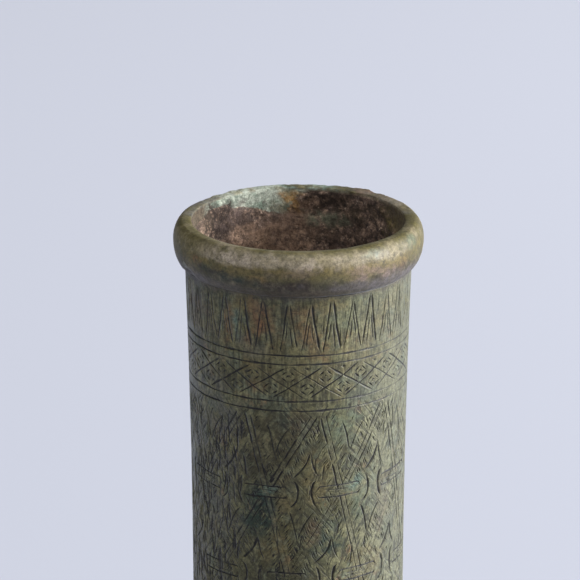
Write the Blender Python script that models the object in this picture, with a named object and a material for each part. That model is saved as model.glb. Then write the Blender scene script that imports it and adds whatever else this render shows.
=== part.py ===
"""A cast bronze pitch pot: a long straight neck with a thickened lip, a flattened round belly and a foot ring.

The pot is one casting, so it is one hollow solid, open at the mouth and under the foot.
It is turned about +Z from one profile. Its origin is the middle of the foot's underside.
The neck's engraving is drawn in the flat, cut as shallow V grooves and rolled round the neck.
Run with: blender --background --python part.py
"""

import math

import bmesh
import bpy
from mathutils import Vector
from mathutils.geometry import delaunay_2d_cdt

MM = 0.001

# Neck: an open tube that draws in a little to a waist and opens again below it
NECK_LENGTH = 162.0 * MM
NECK_TOP_RADIUS = 30.6 * MM
NECK_WAIST_RADIUS = 29.05 * MM
WAIST_BELOW_LIP = 105.0 * MM
WALL = 2.2 * MM

# Lip: a thick rounded roll round the mouth, which opens a little wider than the bore
LIP_HEIGHT = 12.1 * MM
LIP_OVERHANG = 3.15 * MM
WIDEST_BELOW_CREST = 5.2 * MM
CREST_INSIDE_WIDEST = 2.85 * MM
MOUTH_FLARE = 0.4 * MM
MOUTH_EDGE_DROP = 0.35 * MM

# Belly: a flattened ball, with a small hollow curve where the neck rises from it
BELLY_RADIUS = 85.0 * MM
BELLY_HALF_HEIGHT = 50.0 * MM
SHOULDER_FILLET = 5.0 * MM

# Foot: a splayed ring with a plain upright band at its base
FOOT_HEIGHT = 26.0 * MM
FOOT_TOP_RADIUS = 43.0 * MM
FOOT_RADIUS = 52.0 * MM
FOOT_BAND_HEIGHT = 6.0 * MM
FOOT_BAND_STEP = 1.2 * MM
FOOT_WALL = 3.0 * MM

# Engraved lines: V grooves, and the bare metal that is left between two that end near each other
GROOVE_WIDTH = 0.8 * MM
GROOVE_DEPTH = 0.3 * MM
LAND = 0.5 * MM

# Engraved zones, from the lip down: tall teeth, two rings, lozenges, two rings, the large lattice, a ring
TEETH_BELOW_LIP = 2.5 * MM
TEETH_HEIGHT = 14.5 * MM
UPPER_RINGS_APART = 2.4 * MM
LOZENGE_BAND_HEIGHT = 10.4 * MM
LOWER_RINGS_APART = 2.9 * MM
CLOSING_RING_ABOVE_BELLY = 19.7 * MM

# How many of each figure go round the neck, and where the first stands, in degrees right of the front
TEETH = 32
TEETH_PHASE = 0.0
LOZENGES = 19
LOZENGE_PHASE = -5.0
LATTICE_COLUMNS = 9
LATTICE_PHASE = 11.4

# Large lattice: steep strips run down to the right and flatter ones to the left, with a bar over each crossing
# and an upright spindle between two bars
LATTICE_ROWS = 4
STEEP_SHIFT = 0.29
STRIP_WIDTH = 1.6 * MM
BAR_LENGTH = 10.5 * MM
BAR_HEIGHT = 3.0 * MM
SPINDLE_LENGTH = 24.0 * MM
SPINDLE_WIDTH = 5.0 * MM
SPINDLE_WAIST_GAP = 3.0 * MM
SPINDLE_LEAN = 2.0 * MM

# How finely the turned surface is divided
FACETS = 32
LIP_STEPS = 4
MOUTH_STEPS = 2
FILLET_STEPS = 3
BELLY_STEP_ANGLE = 12.5
RECESS_STEPS = 2
FOOT_STEPS = 3
BORE_STEPS = 3
NECK_ROWS = 15
SHARP_ANGLE = 20.0
WELD_DISTANCE = 0.03 * MM
NEARNESS = 0.02 * MM

BRONZE_COLOUR = (0.155, 0.140, 0.082, 1.0)
BRONZE_METALLIC = 0.35
BRONZE_ROUGHNESS = 0.55


def ellipse_height(radius, wide, tall):
    """Height above its middle of an ellipse with these half axes, at this radius."""
    return tall * math.sqrt(1.0 - (radius / wide) ** 2)


def neck_radius(depth):
    """Outer radius of the neck at this depth below the lip's crest."""
    flare = (NECK_TOP_RADIUS - NECK_WAIST_RADIUS) / (1.0 - LIP_HEIGHT / WAIST_BELOW_LIP) ** 2
    return NECK_WAIST_RADIUS + flare * (1.0 - depth / WAIST_BELOW_LIP) ** 2


# Heights above the ground, from the foot up
BELLY_MIDDLE = FOOT_HEIGHT + ellipse_height(FOOT_TOP_RADIUS, BELLY_RADIUS, BELLY_HALF_HEIGHT)
NECK_FOOT_RADIUS = neck_radius(NECK_LENGTH - SHOULDER_FILLET)
SHOULDER_RADIUS = NECK_FOOT_RADIUS + SHOULDER_FILLET
SHOULDER = BELLY_MIDDLE + ellipse_height(NECK_FOOT_RADIUS, BELLY_RADIUS, BELLY_HALF_HEIGHT)
LIP_CREST = SHOULDER + NECK_LENGTH

# Depths of the engraved zones below the lip's crest
NECK_BOTTOM = NECK_LENGTH - SHOULDER_FILLET
TEETH_TOP = LIP_HEIGHT + TEETH_BELOW_LIP
BAND_TOP = TEETH_TOP + TEETH_HEIGHT + UPPER_RINGS_APART
BAND_BOTTOM = BAND_TOP + LOZENGE_BAND_HEIGHT
LATTICE_TOP = BAND_BOTTOM + LOWER_RINGS_APART
LATTICE_BOTTOM = NECK_LENGTH - CLOSING_RING_ABOVE_BELLY
RINGS = (TEETH_TOP + TEETH_HEIGHT, BAND_TOP, BAND_BOTTOM, LATTICE_TOP, LATTICE_BOTTOM)

# Room that a stroke keeps from the middle of a ring or of another stroke, and the flat sheet's width
CLEARANCE = GROOVE_WIDTH / 2.0 + LAND
FLAT_WIDTH = 2.0 * math.pi * NECK_WAIST_RADIUS


def quarter(start, end, steps, leaves_upright):
    """Points of a quarter ellipse in the turned profile, without its first point."""
    points = []
    for step in range(1, steps + 1):
        turn = math.pi / 2.0 * step / steps
        across, along = math.sin(turn), 1.0 - math.cos(turn)
        if leaves_upright:
            across, along = along, across
        radius = start[0] + (end[0] - start[0]) * across
        height = start[1] + (end[1] - start[1]) * along
        points.append((radius, height))
    return points


def fillet(start, corner, end, steps):
    """Points of a hollow curve that leaves start and reaches end, both heading for the corner."""
    points = []
    for step in range(steps + 1):
        t = step / steps
        weights = ((1.0 - t) ** 2, 2.0 * t * (1.0 - t), t * t)
        points.append(tuple(sum(w * p[i] for w, p in zip(weights, (start, corner, end))) for i in (0, 1)))
    return points


def belly_arc(inset, low_radius, high_radius):
    """Points round the belly from below its widest line to above it, inset from the outside."""
    wide, tall = BELLY_RADIUS - inset, BELLY_HALF_HEIGHT - inset
    first = -math.acos(low_radius / wide)
    last = math.acos(high_radius / wide)
    steps = math.ceil((last - first) / math.radians(BELLY_STEP_ANGLE))
    turns = [first + (last - first) * step / steps for step in range(steps + 1)]
    return [(wide * math.cos(t), BELLY_MIDDLE + tall * math.sin(t)) for t in turns]


def foot_profile():
    """Profile from the middle of the underside, out over the foot ring, to the belly."""
    points = []
    for step in range(RECESS_STEPS + 1):
        radius = (FOOT_TOP_RADIUS - FOOT_WALL) * step / RECESS_STEPS
        points.append((radius, BELLY_MIDDLE - ellipse_height(radius, BELLY_RADIUS, BELLY_HALF_HEIGHT)))
    points.append((FOOT_RADIUS - FOOT_WALL, 0.0))
    points.append((FOOT_RADIUS, 0.0))
    points.append((FOOT_RADIUS, FOOT_BAND_HEIGHT))
    splay_base = (FOOT_RADIUS - FOOT_BAND_STEP, FOOT_BAND_HEIGHT)
    splay_top = (FOOT_TOP_RADIUS, FOOT_HEIGHT)
    waist = (FOOT_TOP_RADIUS, FOOT_BAND_HEIGHT)
    points += fillet(splay_base, waist, splay_top, FOOT_STEPS)
    return points


def outer_profile():
    """Profile from the middle of the underside to the foot of the engraved neck."""
    points = foot_profile()
    points += belly_arc(0.0, FOOT_TOP_RADIUS, SHOULDER_RADIUS)[1:]
    neck_end = (NECK_FOOT_RADIUS, LIP_CREST - NECK_BOTTOM)
    hollow = fillet(points[-1], (NECK_FOOT_RADIUS, SHOULDER), neck_end, FILLET_STEPS)
    return points + hollow[1:]


def lip_and_bore_profile():
    """Profile from under the lip, over it, down the bore and round the hollow belly."""
    under_lip = (NECK_TOP_RADIUS, LIP_CREST - LIP_HEIGHT)
    widest = (NECK_TOP_RADIUS + LIP_OVERHANG, LIP_CREST - WIDEST_BELOW_CREST)
    crest = (widest[0] - CREST_INSIDE_WIDEST, LIP_CREST)
    mouth_edge = (NECK_TOP_RADIUS - WALL + MOUTH_FLARE, LIP_CREST - MOUTH_EDGE_DROP)
    points = [under_lip]
    points += quarter(under_lip, widest, LIP_STEPS, leaves_upright=False)
    points += quarter(widest, crest, LIP_STEPS, leaves_upright=True)
    points += quarter(crest, mouth_edge, MOUTH_STEPS, leaves_upright=False)
    for step in range(BORE_STEPS + 1):
        depth = LIP_HEIGHT + (NECK_BOTTOM - LIP_HEIGHT) * step / BORE_STEPS
        points.append((neck_radius(depth) - WALL, LIP_CREST - depth))
    bore_end = points[-1]
    hollow = belly_arc(WALL, 0.0, SHOULDER_RADIUS - WALL)[::-1]
    points += fillet(bore_end, (bore_end[0], hollow[0][1]), hollow[0], FILLET_STEPS)[1:-1]
    points += hollow[:-1]
    points.append((0.0, hollow[-1][1]))
    return points


class Groove:
    """A straight engraved stroke in the flat, widest and deepest at its middle."""

    def __init__(self, start, end):
        self.start = Vector(start)
        self.end = Vector(end)
        self.middle = (self.start + self.end) / 2.0
        run = self.end - self.start
        self.length = run.length
        self.along = run.normalized()
        self.across = Vector((-self.along.y, self.along.x))

    def shifted(self, offset):
        """The same stroke, moved round the neck."""
        move = Vector((offset, 0.0))
        return Groove(self.start + move, self.end + move)

    def corners(self):
        """The stroke's two ends, the two sides of its middle and its deepest point."""
        side = self.across * GROOVE_WIDTH / 2.0
        return [self.start, self.middle + side, self.end, self.middle - side, self.middle]

    def edges(self):
        """Pairs of corners that the triangles have to follow."""
        return [(0, 1), (1, 2), (2, 3), (3, 0), (0, 4), (4, 2)]

    def distance_to(self, point):
        """How far this point of the flat is from the stroke's middle line."""
        offset = point - self.middle
        beyond = max(0.0, abs(offset.dot(self.along)) - self.length / 2.0)
        return math.hypot(beyond, offset.dot(self.across))

    def depth_at(self, point):
        """How deep the stroke is cut at this point of the flat."""
        offset = point - self.middle
        share = abs(offset.dot(self.along)) / self.length + abs(offset.dot(self.across)) / GROOVE_WIDTH
        return GROOVE_DEPTH * max(0.0, 1.0 - share * 2.0)


def around(degrees):
    """Place along the flat of this many degrees to the right of the front."""
    return math.radians(degrees - 90.0) * NECK_WAIST_RADIUS


def teeth_grooves():
    """The legs of the tall teeth under the lip, whose tips and feet nearly meet."""
    pitch = FLAT_WIDTH / TEETH
    foot = TEETH_TOP + TEETH_HEIGHT - CLEARANCE
    grooves = []
    for tooth in range(TEETH):
        middle = around(TEETH_PHASE) + pitch * tooth
        for side in (-1.0, 1.0):
            tip = (middle + side * LAND, -TEETH_TOP)
            grooves.append(Groove(tip, (middle + side * (pitch / 2.0 - LAND), -foot)))
    return grooves


def lozenge_grooves():
    """Slanting lines that cross in the band as two staggered rows of lozenges, three half rows high."""
    pitch = FLAT_WIDTH / LOZENGES
    slope = 1.5 * pitch / LOZENGE_BAND_HEIGHT
    reach = (LOZENGE_BAND_HEIGHT - 2.0 * CLEARANCE) * slope
    grooves = []
    for lozenge in range(LOZENGES):
        tip = around(LOZENGE_PHASE) + pitch * lozenge
        for side in (-1.0, 1.0):
            start = tip + side * CLEARANCE * slope
            end = start + side * reach
            grooves.append(Groove((start, -BAND_TOP - CLEARANCE), (end, CLEARANCE - BAND_BOTTOM)))
    return grooves


def doubled(start, end, apart):
    """Two parallel strokes, this far apart, on either side of the line between these points."""
    run = (Vector(end) - Vector(start)).normalized()
    side = Vector((-run.y, run.x)) * apart / 2.0
    return [Groove(Vector(start) + side * sign, Vector(end) + side * sign) for sign in (-1.0, 1.0)]


def lattice_grooves():
    """The large lattice. Its strips stop at the bars, and the flatter ones stop clear of the steep ones."""
    pitch = FLAT_WIDTH / LATTICE_COLUMNS
    first_row = (BAND_BOTTOM + LATTICE_TOP) / 2.0
    row_height = (LATTICE_BOTTOM - first_row) / LATTICE_ROWS
    bar_room = BAR_HEIGHT / 2.0 + GROOVE_WIDTH / 2.0
    strip_room = (STRIP_WIDTH + GROOVE_WIDTH + LAND) * row_height / pitch

    def place(column, shift, depth):
        """Point of a strip at this depth, where it moves by shift of a column in each row."""
        rows_down = (depth - first_row) / row_height
        return (around(LATTICE_PHASE) + pitch * (column + shift * rows_down), -depth)

    def spindle(middle):
        """Four strokes that meet in two points above and below this middle, and leave its waist open."""
        strokes = []
        for end in (-1.0, 1.0):
            point = middle + Vector((SPINDLE_LEAN / 2.0, SPINDLE_LENGTH / 2.0)) * end
            for side in (-1.0, 1.0):
                waist = middle + Vector((SPINDLE_WIDTH / 2.0 * side, SPINDLE_WAIST_GAP / 2.0 * end))
                strokes.append(Groove(waist, point + Vector((LAND * side, 0.0))))
        return strokes

    grooves = []
    for column in range(LATTICE_COLUMNS):
        for row in range(LATTICE_ROWS):
            crossing = first_row + row_height * row
            for shift, room in ((STEEP_SHIFT, bar_room), (STEEP_SHIFT - 1.0, max(bar_room, strip_room))):
                upper = max(LATTICE_TOP + CLEARANCE, crossing + room)
                lower = min(LATTICE_BOTTOM - CLEARANCE, crossing + row_height - room)
                grooves += doubled(place(column, shift, upper), place(column, shift, lower), STRIP_WIDTH)
            if row > 0:
                middle = Vector(place(column, STEEP_SHIFT, crossing))
                half = Vector((BAR_LENGTH / 2.0, 0.0))
                grooves += doubled(middle - half, middle + half, BAR_HEIGHT)
                grooves += spindle(middle + Vector((pitch / 2.0, 0.0)))
    return grooves


class FlatSheet:
    """Points and lines in the flat that the engraved neck's triangles have to follow."""

    def __init__(self):
        self.points = []
        self.lines = []

    def add(self, points, lines):
        """Adds points, and lines between them given as pairs of places in their list."""
        first = len(self.points)
        self.points += [Vector(point) for point in points]
        self.lines += [(first + a, first + b) for a, b in lines]

    def triangles(self):
        """The sheet's points and its triangles, without what lies beyond its two upright sides."""
        points, _, faces, *_ = delaunay_2d_cdt(self.points, self.lines, [], 0, NEARNESS)
        middle = [sum(points[corner].x for corner in face) / len(face) for face in faces]
        kept = [face for face, place in zip(faces, middle) if 0.0 < place < FLAT_WIDTH]
        return points, kept


def within_sheet(grooves):
    """The strokes brought round into the sheet, with a second copy of each that crosses its sides."""
    placed = []
    for groove in grooves:
        home = groove.shifted(-FLAT_WIDTH * math.floor(groove.start.x / FLAT_WIDTH))
        reach = sorted((home.start.x, home.end.x))
        placed.append(home)
        if reach[1] + GROOVE_WIDTH > FLAT_WIDTH:
            placed.append(home.shifted(-FLAT_WIDTH))
        if reach[0] - GROOVE_WIDTH < 0.0:
            placed.append(home.shifted(FLAT_WIDTH))
    return placed


def ring_depth(depth):
    """How deep the engraved rings are cut at this depth below the lip."""
    nearest = min(abs(depth - ring) for ring in RINGS)
    return GROOVE_DEPTH * max(0.0, 1.0 - nearest * 2.0 / GROOVE_WIDTH)


def bare_points(grooves):
    """Points in staggered rows between the strokes, which keep the bare metal round."""
    facet = FLAT_WIDTH / FACETS
    points = []
    for row in range(1, NECK_ROWS):
        depth = LIP_HEIGHT + (NECK_BOTTOM - LIP_HEIGHT) * row / NECK_ROWS
        if min(abs(depth - ring) for ring in RINGS) < CLEARANCE:
            continue
        stagger = facet / 2.0 * (row % 2)
        columns = [Vector((facet * column + stagger, -depth)) for column in range(FACETS + 1 - row % 2)]
        points += [p for p in columns if all(groove.distance_to(p) > CLEARANCE for groove in grooves)]
    return points


def engraved_neck():
    """Mesh of the engraved neck, as an open tube from under the lip to the shoulder."""
    grooves = within_sheet(teeth_grooves() + lozenge_grooves() + lattice_grooves())
    sheet = FlatSheet()
    for side in (0.0, FLAT_WIDTH):
        sheet.add([(side, -LIP_HEIGHT), (side, -NECK_BOTTOM)], [(0, 1)])
    levels = [LIP_HEIGHT, NECK_BOTTOM]
    for ring in RINGS:
        levels += [ring - GROOVE_WIDTH / 2.0, ring, ring + GROOVE_WIDTH / 2.0]
    for level in levels:
        places = [(FLAT_WIDTH * facet / FACETS, -level) for facet in range(FACETS + 1)]
        sheet.add(places, [(facet, facet + 1) for facet in range(FACETS)])
    for groove in grooves:
        sheet.add(groove.corners(), groove.edges())
    sheet.add(bare_points(grooves), [])
    points, faces = sheet.triangles()

    bm = bmesh.new()
    verts = []
    for point in points:
        cut = max([ring_depth(-point.y)] + [groove.depth_at(point) for groove in grooves])
        turn = point.x / NECK_WAIST_RADIUS
        radius = neck_radius(-point.y) - cut
        verts.append(bm.verts.new((radius * math.cos(turn), radius * math.sin(turn), LIP_CREST + point.y)))
    for face in faces:
        bm.faces.new([verts[corner] for corner in face])
    loose = [vert for vert in bm.verts if not vert.link_faces]
    bmesh.ops.delete(bm, geom=loose, context="VERTS")
    return bm


def turn_profile(bm, profile):
    """Turns a profile of radii and heights once round +Z, as part of bm."""
    verts = [bm.verts.new((radius, 0.0, height)) for radius, height in profile]
    edges = [bm.edges.new(pair) for pair in zip(verts, verts[1:])]
    bmesh.ops.spin(bm, geom=verts + edges, axis=(0.0, 0.0, 1.0), cent=(0.0, 0.0, 0.0),
                   angle=2.0 * math.pi, steps=FACETS, use_merge=True)


def bronze():
    """Aged bronze, green brown and half dull."""
    material = bpy.data.materials.new("aged_bronze")
    material.use_nodes = True
    shader = material.node_tree.nodes["Principled BSDF"]
    shader.inputs["Base Color"].default_value = BRONZE_COLOUR
    shader.inputs["Metallic"].default_value = BRONZE_METALLIC
    shader.inputs["Roughness"].default_value = BRONZE_ROUGHNESS
    return material


def make_pot():
    """The whole pot as one closed solid."""
    bm = engraved_neck()
    turn_profile(bm, outer_profile())
    turn_profile(bm, lip_and_bore_profile())
    bmesh.ops.remove_doubles(bm, verts=bm.verts, dist=WELD_DISTANCE)
    bmesh.ops.recalc_face_normals(bm, faces=bm.faces)
    mesh = bpy.data.meshes.new("pitch_pot")
    bm.to_mesh(mesh)
    bm.free()
    mesh.materials.append(bronze())
    mesh.shade_smooth()
    mesh.set_sharp_from_angle(angle=math.radians(SHARP_ANGLE))
    pot = bpy.data.objects.new("pitch_pot", mesh)
    bpy.context.scene.collection.objects.link(pot)
    return pot


def main():
    """Clears the scene and builds the pot."""
    for thing in list(bpy.data.objects):
        bpy.data.objects.remove(thing)
    make_pot()


main()
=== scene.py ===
"""The bronze pitch pot, dressed for its picture.

The pot is one casting, so it is one closed mesh: the engraved neck, the rolled lip, the crusted mouth, the
round belly and the foot ring. The neck is drawn in the flat with every stroke of the graver and rolled round.
Patina, verdigris and earth are one material, which reads the cuts and the crust from the mesh's attributes.
"""

import logging
import math
import random
from collections import defaultdict
from dataclasses import dataclass, field
from enum import Enum
from typing import Optional, Sequence, Union

import bmesh
import bpy
import numpy as np
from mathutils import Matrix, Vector, noise
from mathutils.geometry import delaunay_2d_cdt


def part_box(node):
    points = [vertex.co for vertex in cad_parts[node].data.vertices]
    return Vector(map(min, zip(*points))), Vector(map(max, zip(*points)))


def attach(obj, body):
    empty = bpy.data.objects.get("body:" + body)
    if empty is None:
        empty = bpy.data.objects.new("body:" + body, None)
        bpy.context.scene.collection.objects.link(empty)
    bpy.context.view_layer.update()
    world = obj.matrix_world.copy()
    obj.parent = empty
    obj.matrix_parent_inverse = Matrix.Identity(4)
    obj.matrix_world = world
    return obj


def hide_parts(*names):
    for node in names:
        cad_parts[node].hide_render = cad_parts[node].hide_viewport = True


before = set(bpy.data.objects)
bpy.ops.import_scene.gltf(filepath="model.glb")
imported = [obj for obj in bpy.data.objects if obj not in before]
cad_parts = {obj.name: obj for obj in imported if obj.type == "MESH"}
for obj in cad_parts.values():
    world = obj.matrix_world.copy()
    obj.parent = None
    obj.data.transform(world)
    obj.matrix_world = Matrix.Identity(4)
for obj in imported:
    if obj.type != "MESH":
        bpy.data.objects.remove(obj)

MM = 0.001

# Steps once round the pot, and how near two points are before they become one.
COLUMNS = 216
WELD = 0.002 * MM

# About one full turn in radians, and a curve's length as a share of the straight way between its ends.
TURN = 6.28
CURVE_SHARE = 1.1

LOG = logging.getLogger("pitch_pot")

Place = tuple[float, float]
Colour = tuple[float, float, float]
Socket = bpy.types.NodeSocket
Numbers = Union[np.ndarray, float]
Value = Union[Socket, float]
Paint = Union[Socket, Colour]
Inputs = dict[Union[int, str], Union[Socket, float, tuple[float, ...]]]


def smooth_step(value: Numbers, low: float, high: float) -> Numbers:
    """Rises softly from 0 where the value is low to 1 where it is high."""
    share = np.clip((value - low) / (high - low), 0.0, 1.0)
    return share * share * (3.0 - 2.0 * share)


def swell(places: np.ndarray, size: float, octaves: int, offset: float) -> np.ndarray:
    """Layered noise at each place, about -1 to 1, by its largest bumps' size, its layers and its offset."""
    shift = Vector((offset, offset * 0.7, offset * 1.3))
    return np.array([noise.fractal(Vector(place) / size + shift, 1.0, 2.1, octaves) for place in places])


@dataclass(frozen=True)
class PotShape:
    """Sizes of the casting in metres. Depths are measured down from the lip's crest."""

    crest: float
    belly_radius: float
    neck_length: float = 162.0 * MM
    neck_top_radius: float = 30.6 * MM
    waist_radius: float = 29.05 * MM
    waist_depth: float = 105.0 * MM
    wall: float = 2.2 * MM
    lip_height: float = 12.1 * MM
    lip_overhang: float = 3.15 * MM
    widest_depth: float = 5.2 * MM
    crest_inside_widest: float = 2.85 * MM
    mouth_flare: float = 0.4 * MM
    mouth_edge_drop: float = 0.35 * MM
    belly_half_height: float = 50.0 * MM
    shoulder_fillet: float = 5.0 * MM
    foot_height: float = 26.0 * MM
    foot_top_radius: float = 43.0 * MM
    foot_radius: float = 52.0 * MM
    foot_band_height: float = 6.0 * MM
    foot_band_step: float = 1.2 * MM
    foot_wall: float = 3.0 * MM

    def neck_radius(self, depth: float) -> float:
        """Outer radius of the neck at this depth."""
        flare = (self.neck_top_radius - self.waist_radius) / (1.0 - self.lip_height / self.waist_depth) ** 2
        return self.waist_radius + flare * (1.0 - depth / self.waist_depth) ** 2

    def outer_radius(self, depth: float) -> float:
        """Outer radius of the lip or the neck.

        Args:
            depth: Depth below the crest.

        Returns:
            The radius.
        """
        widest = self.neck_top_radius + self.lip_overhang
        if depth < self.widest_depth:
            share = 1.0 - depth / self.widest_depth
            return widest - self.crest_inside_widest * (1.0 - math.sqrt(1.0 - share * share))
        if depth < self.lip_height:
            share = (depth - self.widest_depth) / (self.lip_height - self.widest_depth)
            return self.neck_top_radius + self.lip_overhang * math.sqrt(1.0 - share * share)
        return self.neck_radius(depth)

    @property
    def neck_bottom(self) -> float:
        """Depth at which the neck begins to curve out into the belly."""
        return self.neck_length - self.shoulder_fillet

    @property
    def neck_foot_radius(self) -> float:
        """Outer radius of the neck where it begins to curve out."""
        return self.neck_radius(self.neck_bottom)

    @property
    def belly_middle(self) -> float:
        """Height of the belly's widest line."""
        rise = math.sqrt(1.0 - (self.neck_foot_radius / self.belly_radius) ** 2)
        return self.crest - self.neck_length - self.belly_half_height * rise

    @property
    def flat_width(self) -> float:
        """Width of the neck's surface when it is laid flat, measured at the waist."""
        return 2.0 * math.pi * self.waist_radius

    def along(self, degrees: float) -> float:
        """Place in the flat of this many degrees to the right of the front."""
        return math.radians(degrees) * self.waist_radius


@dataclass
class Stroke:
    """One cut of the graver in the flat: its middle line, half its width at each point, and its depth."""

    middle: np.ndarray
    half: np.ndarray
    depth: float
    soot: float
    level: bool = False

    def shifted(self, offset: float) -> "Stroke":
        """The same cut, moved round the neck."""
        return Stroke(self.middle + np.array((offset, 0.0)), self.half, self.depth, self.soot)

    def part(self, first: int, last: int) -> "Stroke":
        """The stretch between two of its points, pointed at both ends.

        Args:
            first: The stretch's first point.
            last: The point after its last one.

        Returns:
            The shorter cut.
        """
        half = self.half[first:last].copy()
        half[[0, -1]] = 0.0
        return Stroke(self.middle[first:last], half, self.depth, self.soot)

    def sides(self) -> tuple[np.ndarray, np.ndarray]:
        """The two edges of the cut, point by point, straight above and below a level ring.

        Returns:
            The points of the left edge, and those of the right one.
        """
        if self.level:
            upright = np.column_stack((np.zeros(len(self.half)), self.half))
            return self.middle + upright, self.middle - upright
        run = np.gradient(self.middle, axis=0)
        run /= np.linalg.norm(run, axis=1)[:, None]
        across = np.column_stack((-run[:, 1], run[:, 0])) * self.half[:, None]
        return self.middle + across, self.middle - across


@dataclass
class Graver:
    """The hand that cuts the strokes: it drifts, presses unevenly, and starts and ends in a point."""

    seed: int
    step: float = 1.7 * MM
    drift: float = 0.09 * MM
    drift_length: float = 9.0 * MM
    pressure: float = 0.22
    pressure_length: float = 5.0 * MM
    taper: float = 0.9 * MM
    slow_share: float = 0.62
    quick_share: float = 0.38
    quick_turn: float = 16.1
    strokes: list[Stroke] = field(default_factory=list)

    def __post_init__(self) -> None:
        """Starts the hand's own chance, so that it does the same each time."""
        self.chance = random.Random(self.seed)

    def wander(self, travel: np.ndarray, length: float) -> np.ndarray:
        """A slow uneven swing between -1 and 1 along a cut.

        Args:
            travel: Distances along the cut.
            length: Length of one swing.

        Returns:
            The swing at each distance.
        """
        first, second = self.chance.uniform(0.0, TURN), self.chance.uniform(0.0, TURN)
        slow = self.slow_share * np.sin(travel * TURN / length + first)
        return slow + self.quick_share * np.sin(travel * self.quick_turn / length + second)

    def cut(self, points: Sequence[Place], width: float, depth: float, soot: float = 1.0) -> None:
        """Cuts a line through these points of the flat, in metres.

        Args:
            points: The line's corners, across and down the flat, as (across, minus depth below the crest).
            width: The cut's width.
            depth: The cut's greatest depth.
            soot: How dark the dirt in it is, from 0 to 1.
        """
        corners = np.array(points, float)
        lengths = np.linalg.norm(np.diff(corners, axis=0), axis=1)
        marks = np.concatenate(([0.0], np.cumsum(lengths)))
        count = max(3, math.ceil(marks[-1] / self.step) + 1)
        travel = np.linspace(0.0, marks[-1], count)
        middle = np.column_stack([np.interp(travel, marks, corners[:, axis]) for axis in (0, 1)])
        run = np.gradient(middle, axis=0)
        run /= np.linalg.norm(run, axis=1)[:, None]
        sway = self.wander(travel, self.drift_length) * self.drift
        middle += np.column_stack((-run[:, 1], run[:, 0])) * sway[:, None]
        ends = np.clip(np.minimum(travel, marks[-1] - travel) / min(self.taper, marks[-1] / 2.0), 0.0, 1.0)
        half = width / 2.0 * np.sqrt(ends) * (1.0 + self.pressure * self.wander(travel, self.pressure_length))
        self.strokes.append(Stroke(middle, half, depth, soot))

    def nick(self, start: Place, end: Place, width: float, depth: float, soot: float) -> None:
        """Cuts one short straight tick that is widest at its middle."""
        middle = np.array((start, ((start[0] + end[0]) / 2.0, (start[1] + end[1]) / 2.0), end))
        self.strokes.append(Stroke(middle, np.array((0.0, width / 2.0, 0.0)), depth, soot))


class Slant(Enum):
    """The lattice's two kinds of strip: steep ones go down to the right, and flat ones down to the left.

    Each holds how its ticks lean, and how much fainter its lines are on the front right, in the first row and
    in the rows below it.
    """

    STEEP = (-0.75, 0.28, 0.0)
    FLAT = (0.36, 0.4, 0.4)

    @property
    def tick_way(self) -> np.ndarray:
        """The way that its ticks run in the flat, one long."""
        return np.array((self.value[0], -1.0)) / math.hypot(self.value[0], 1.0)

    def faintness(self, row: int) -> float:
        """How much fainter its lines are on the front right of this row."""
        return self.value[1] if row == 0 else self.value[2]


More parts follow.
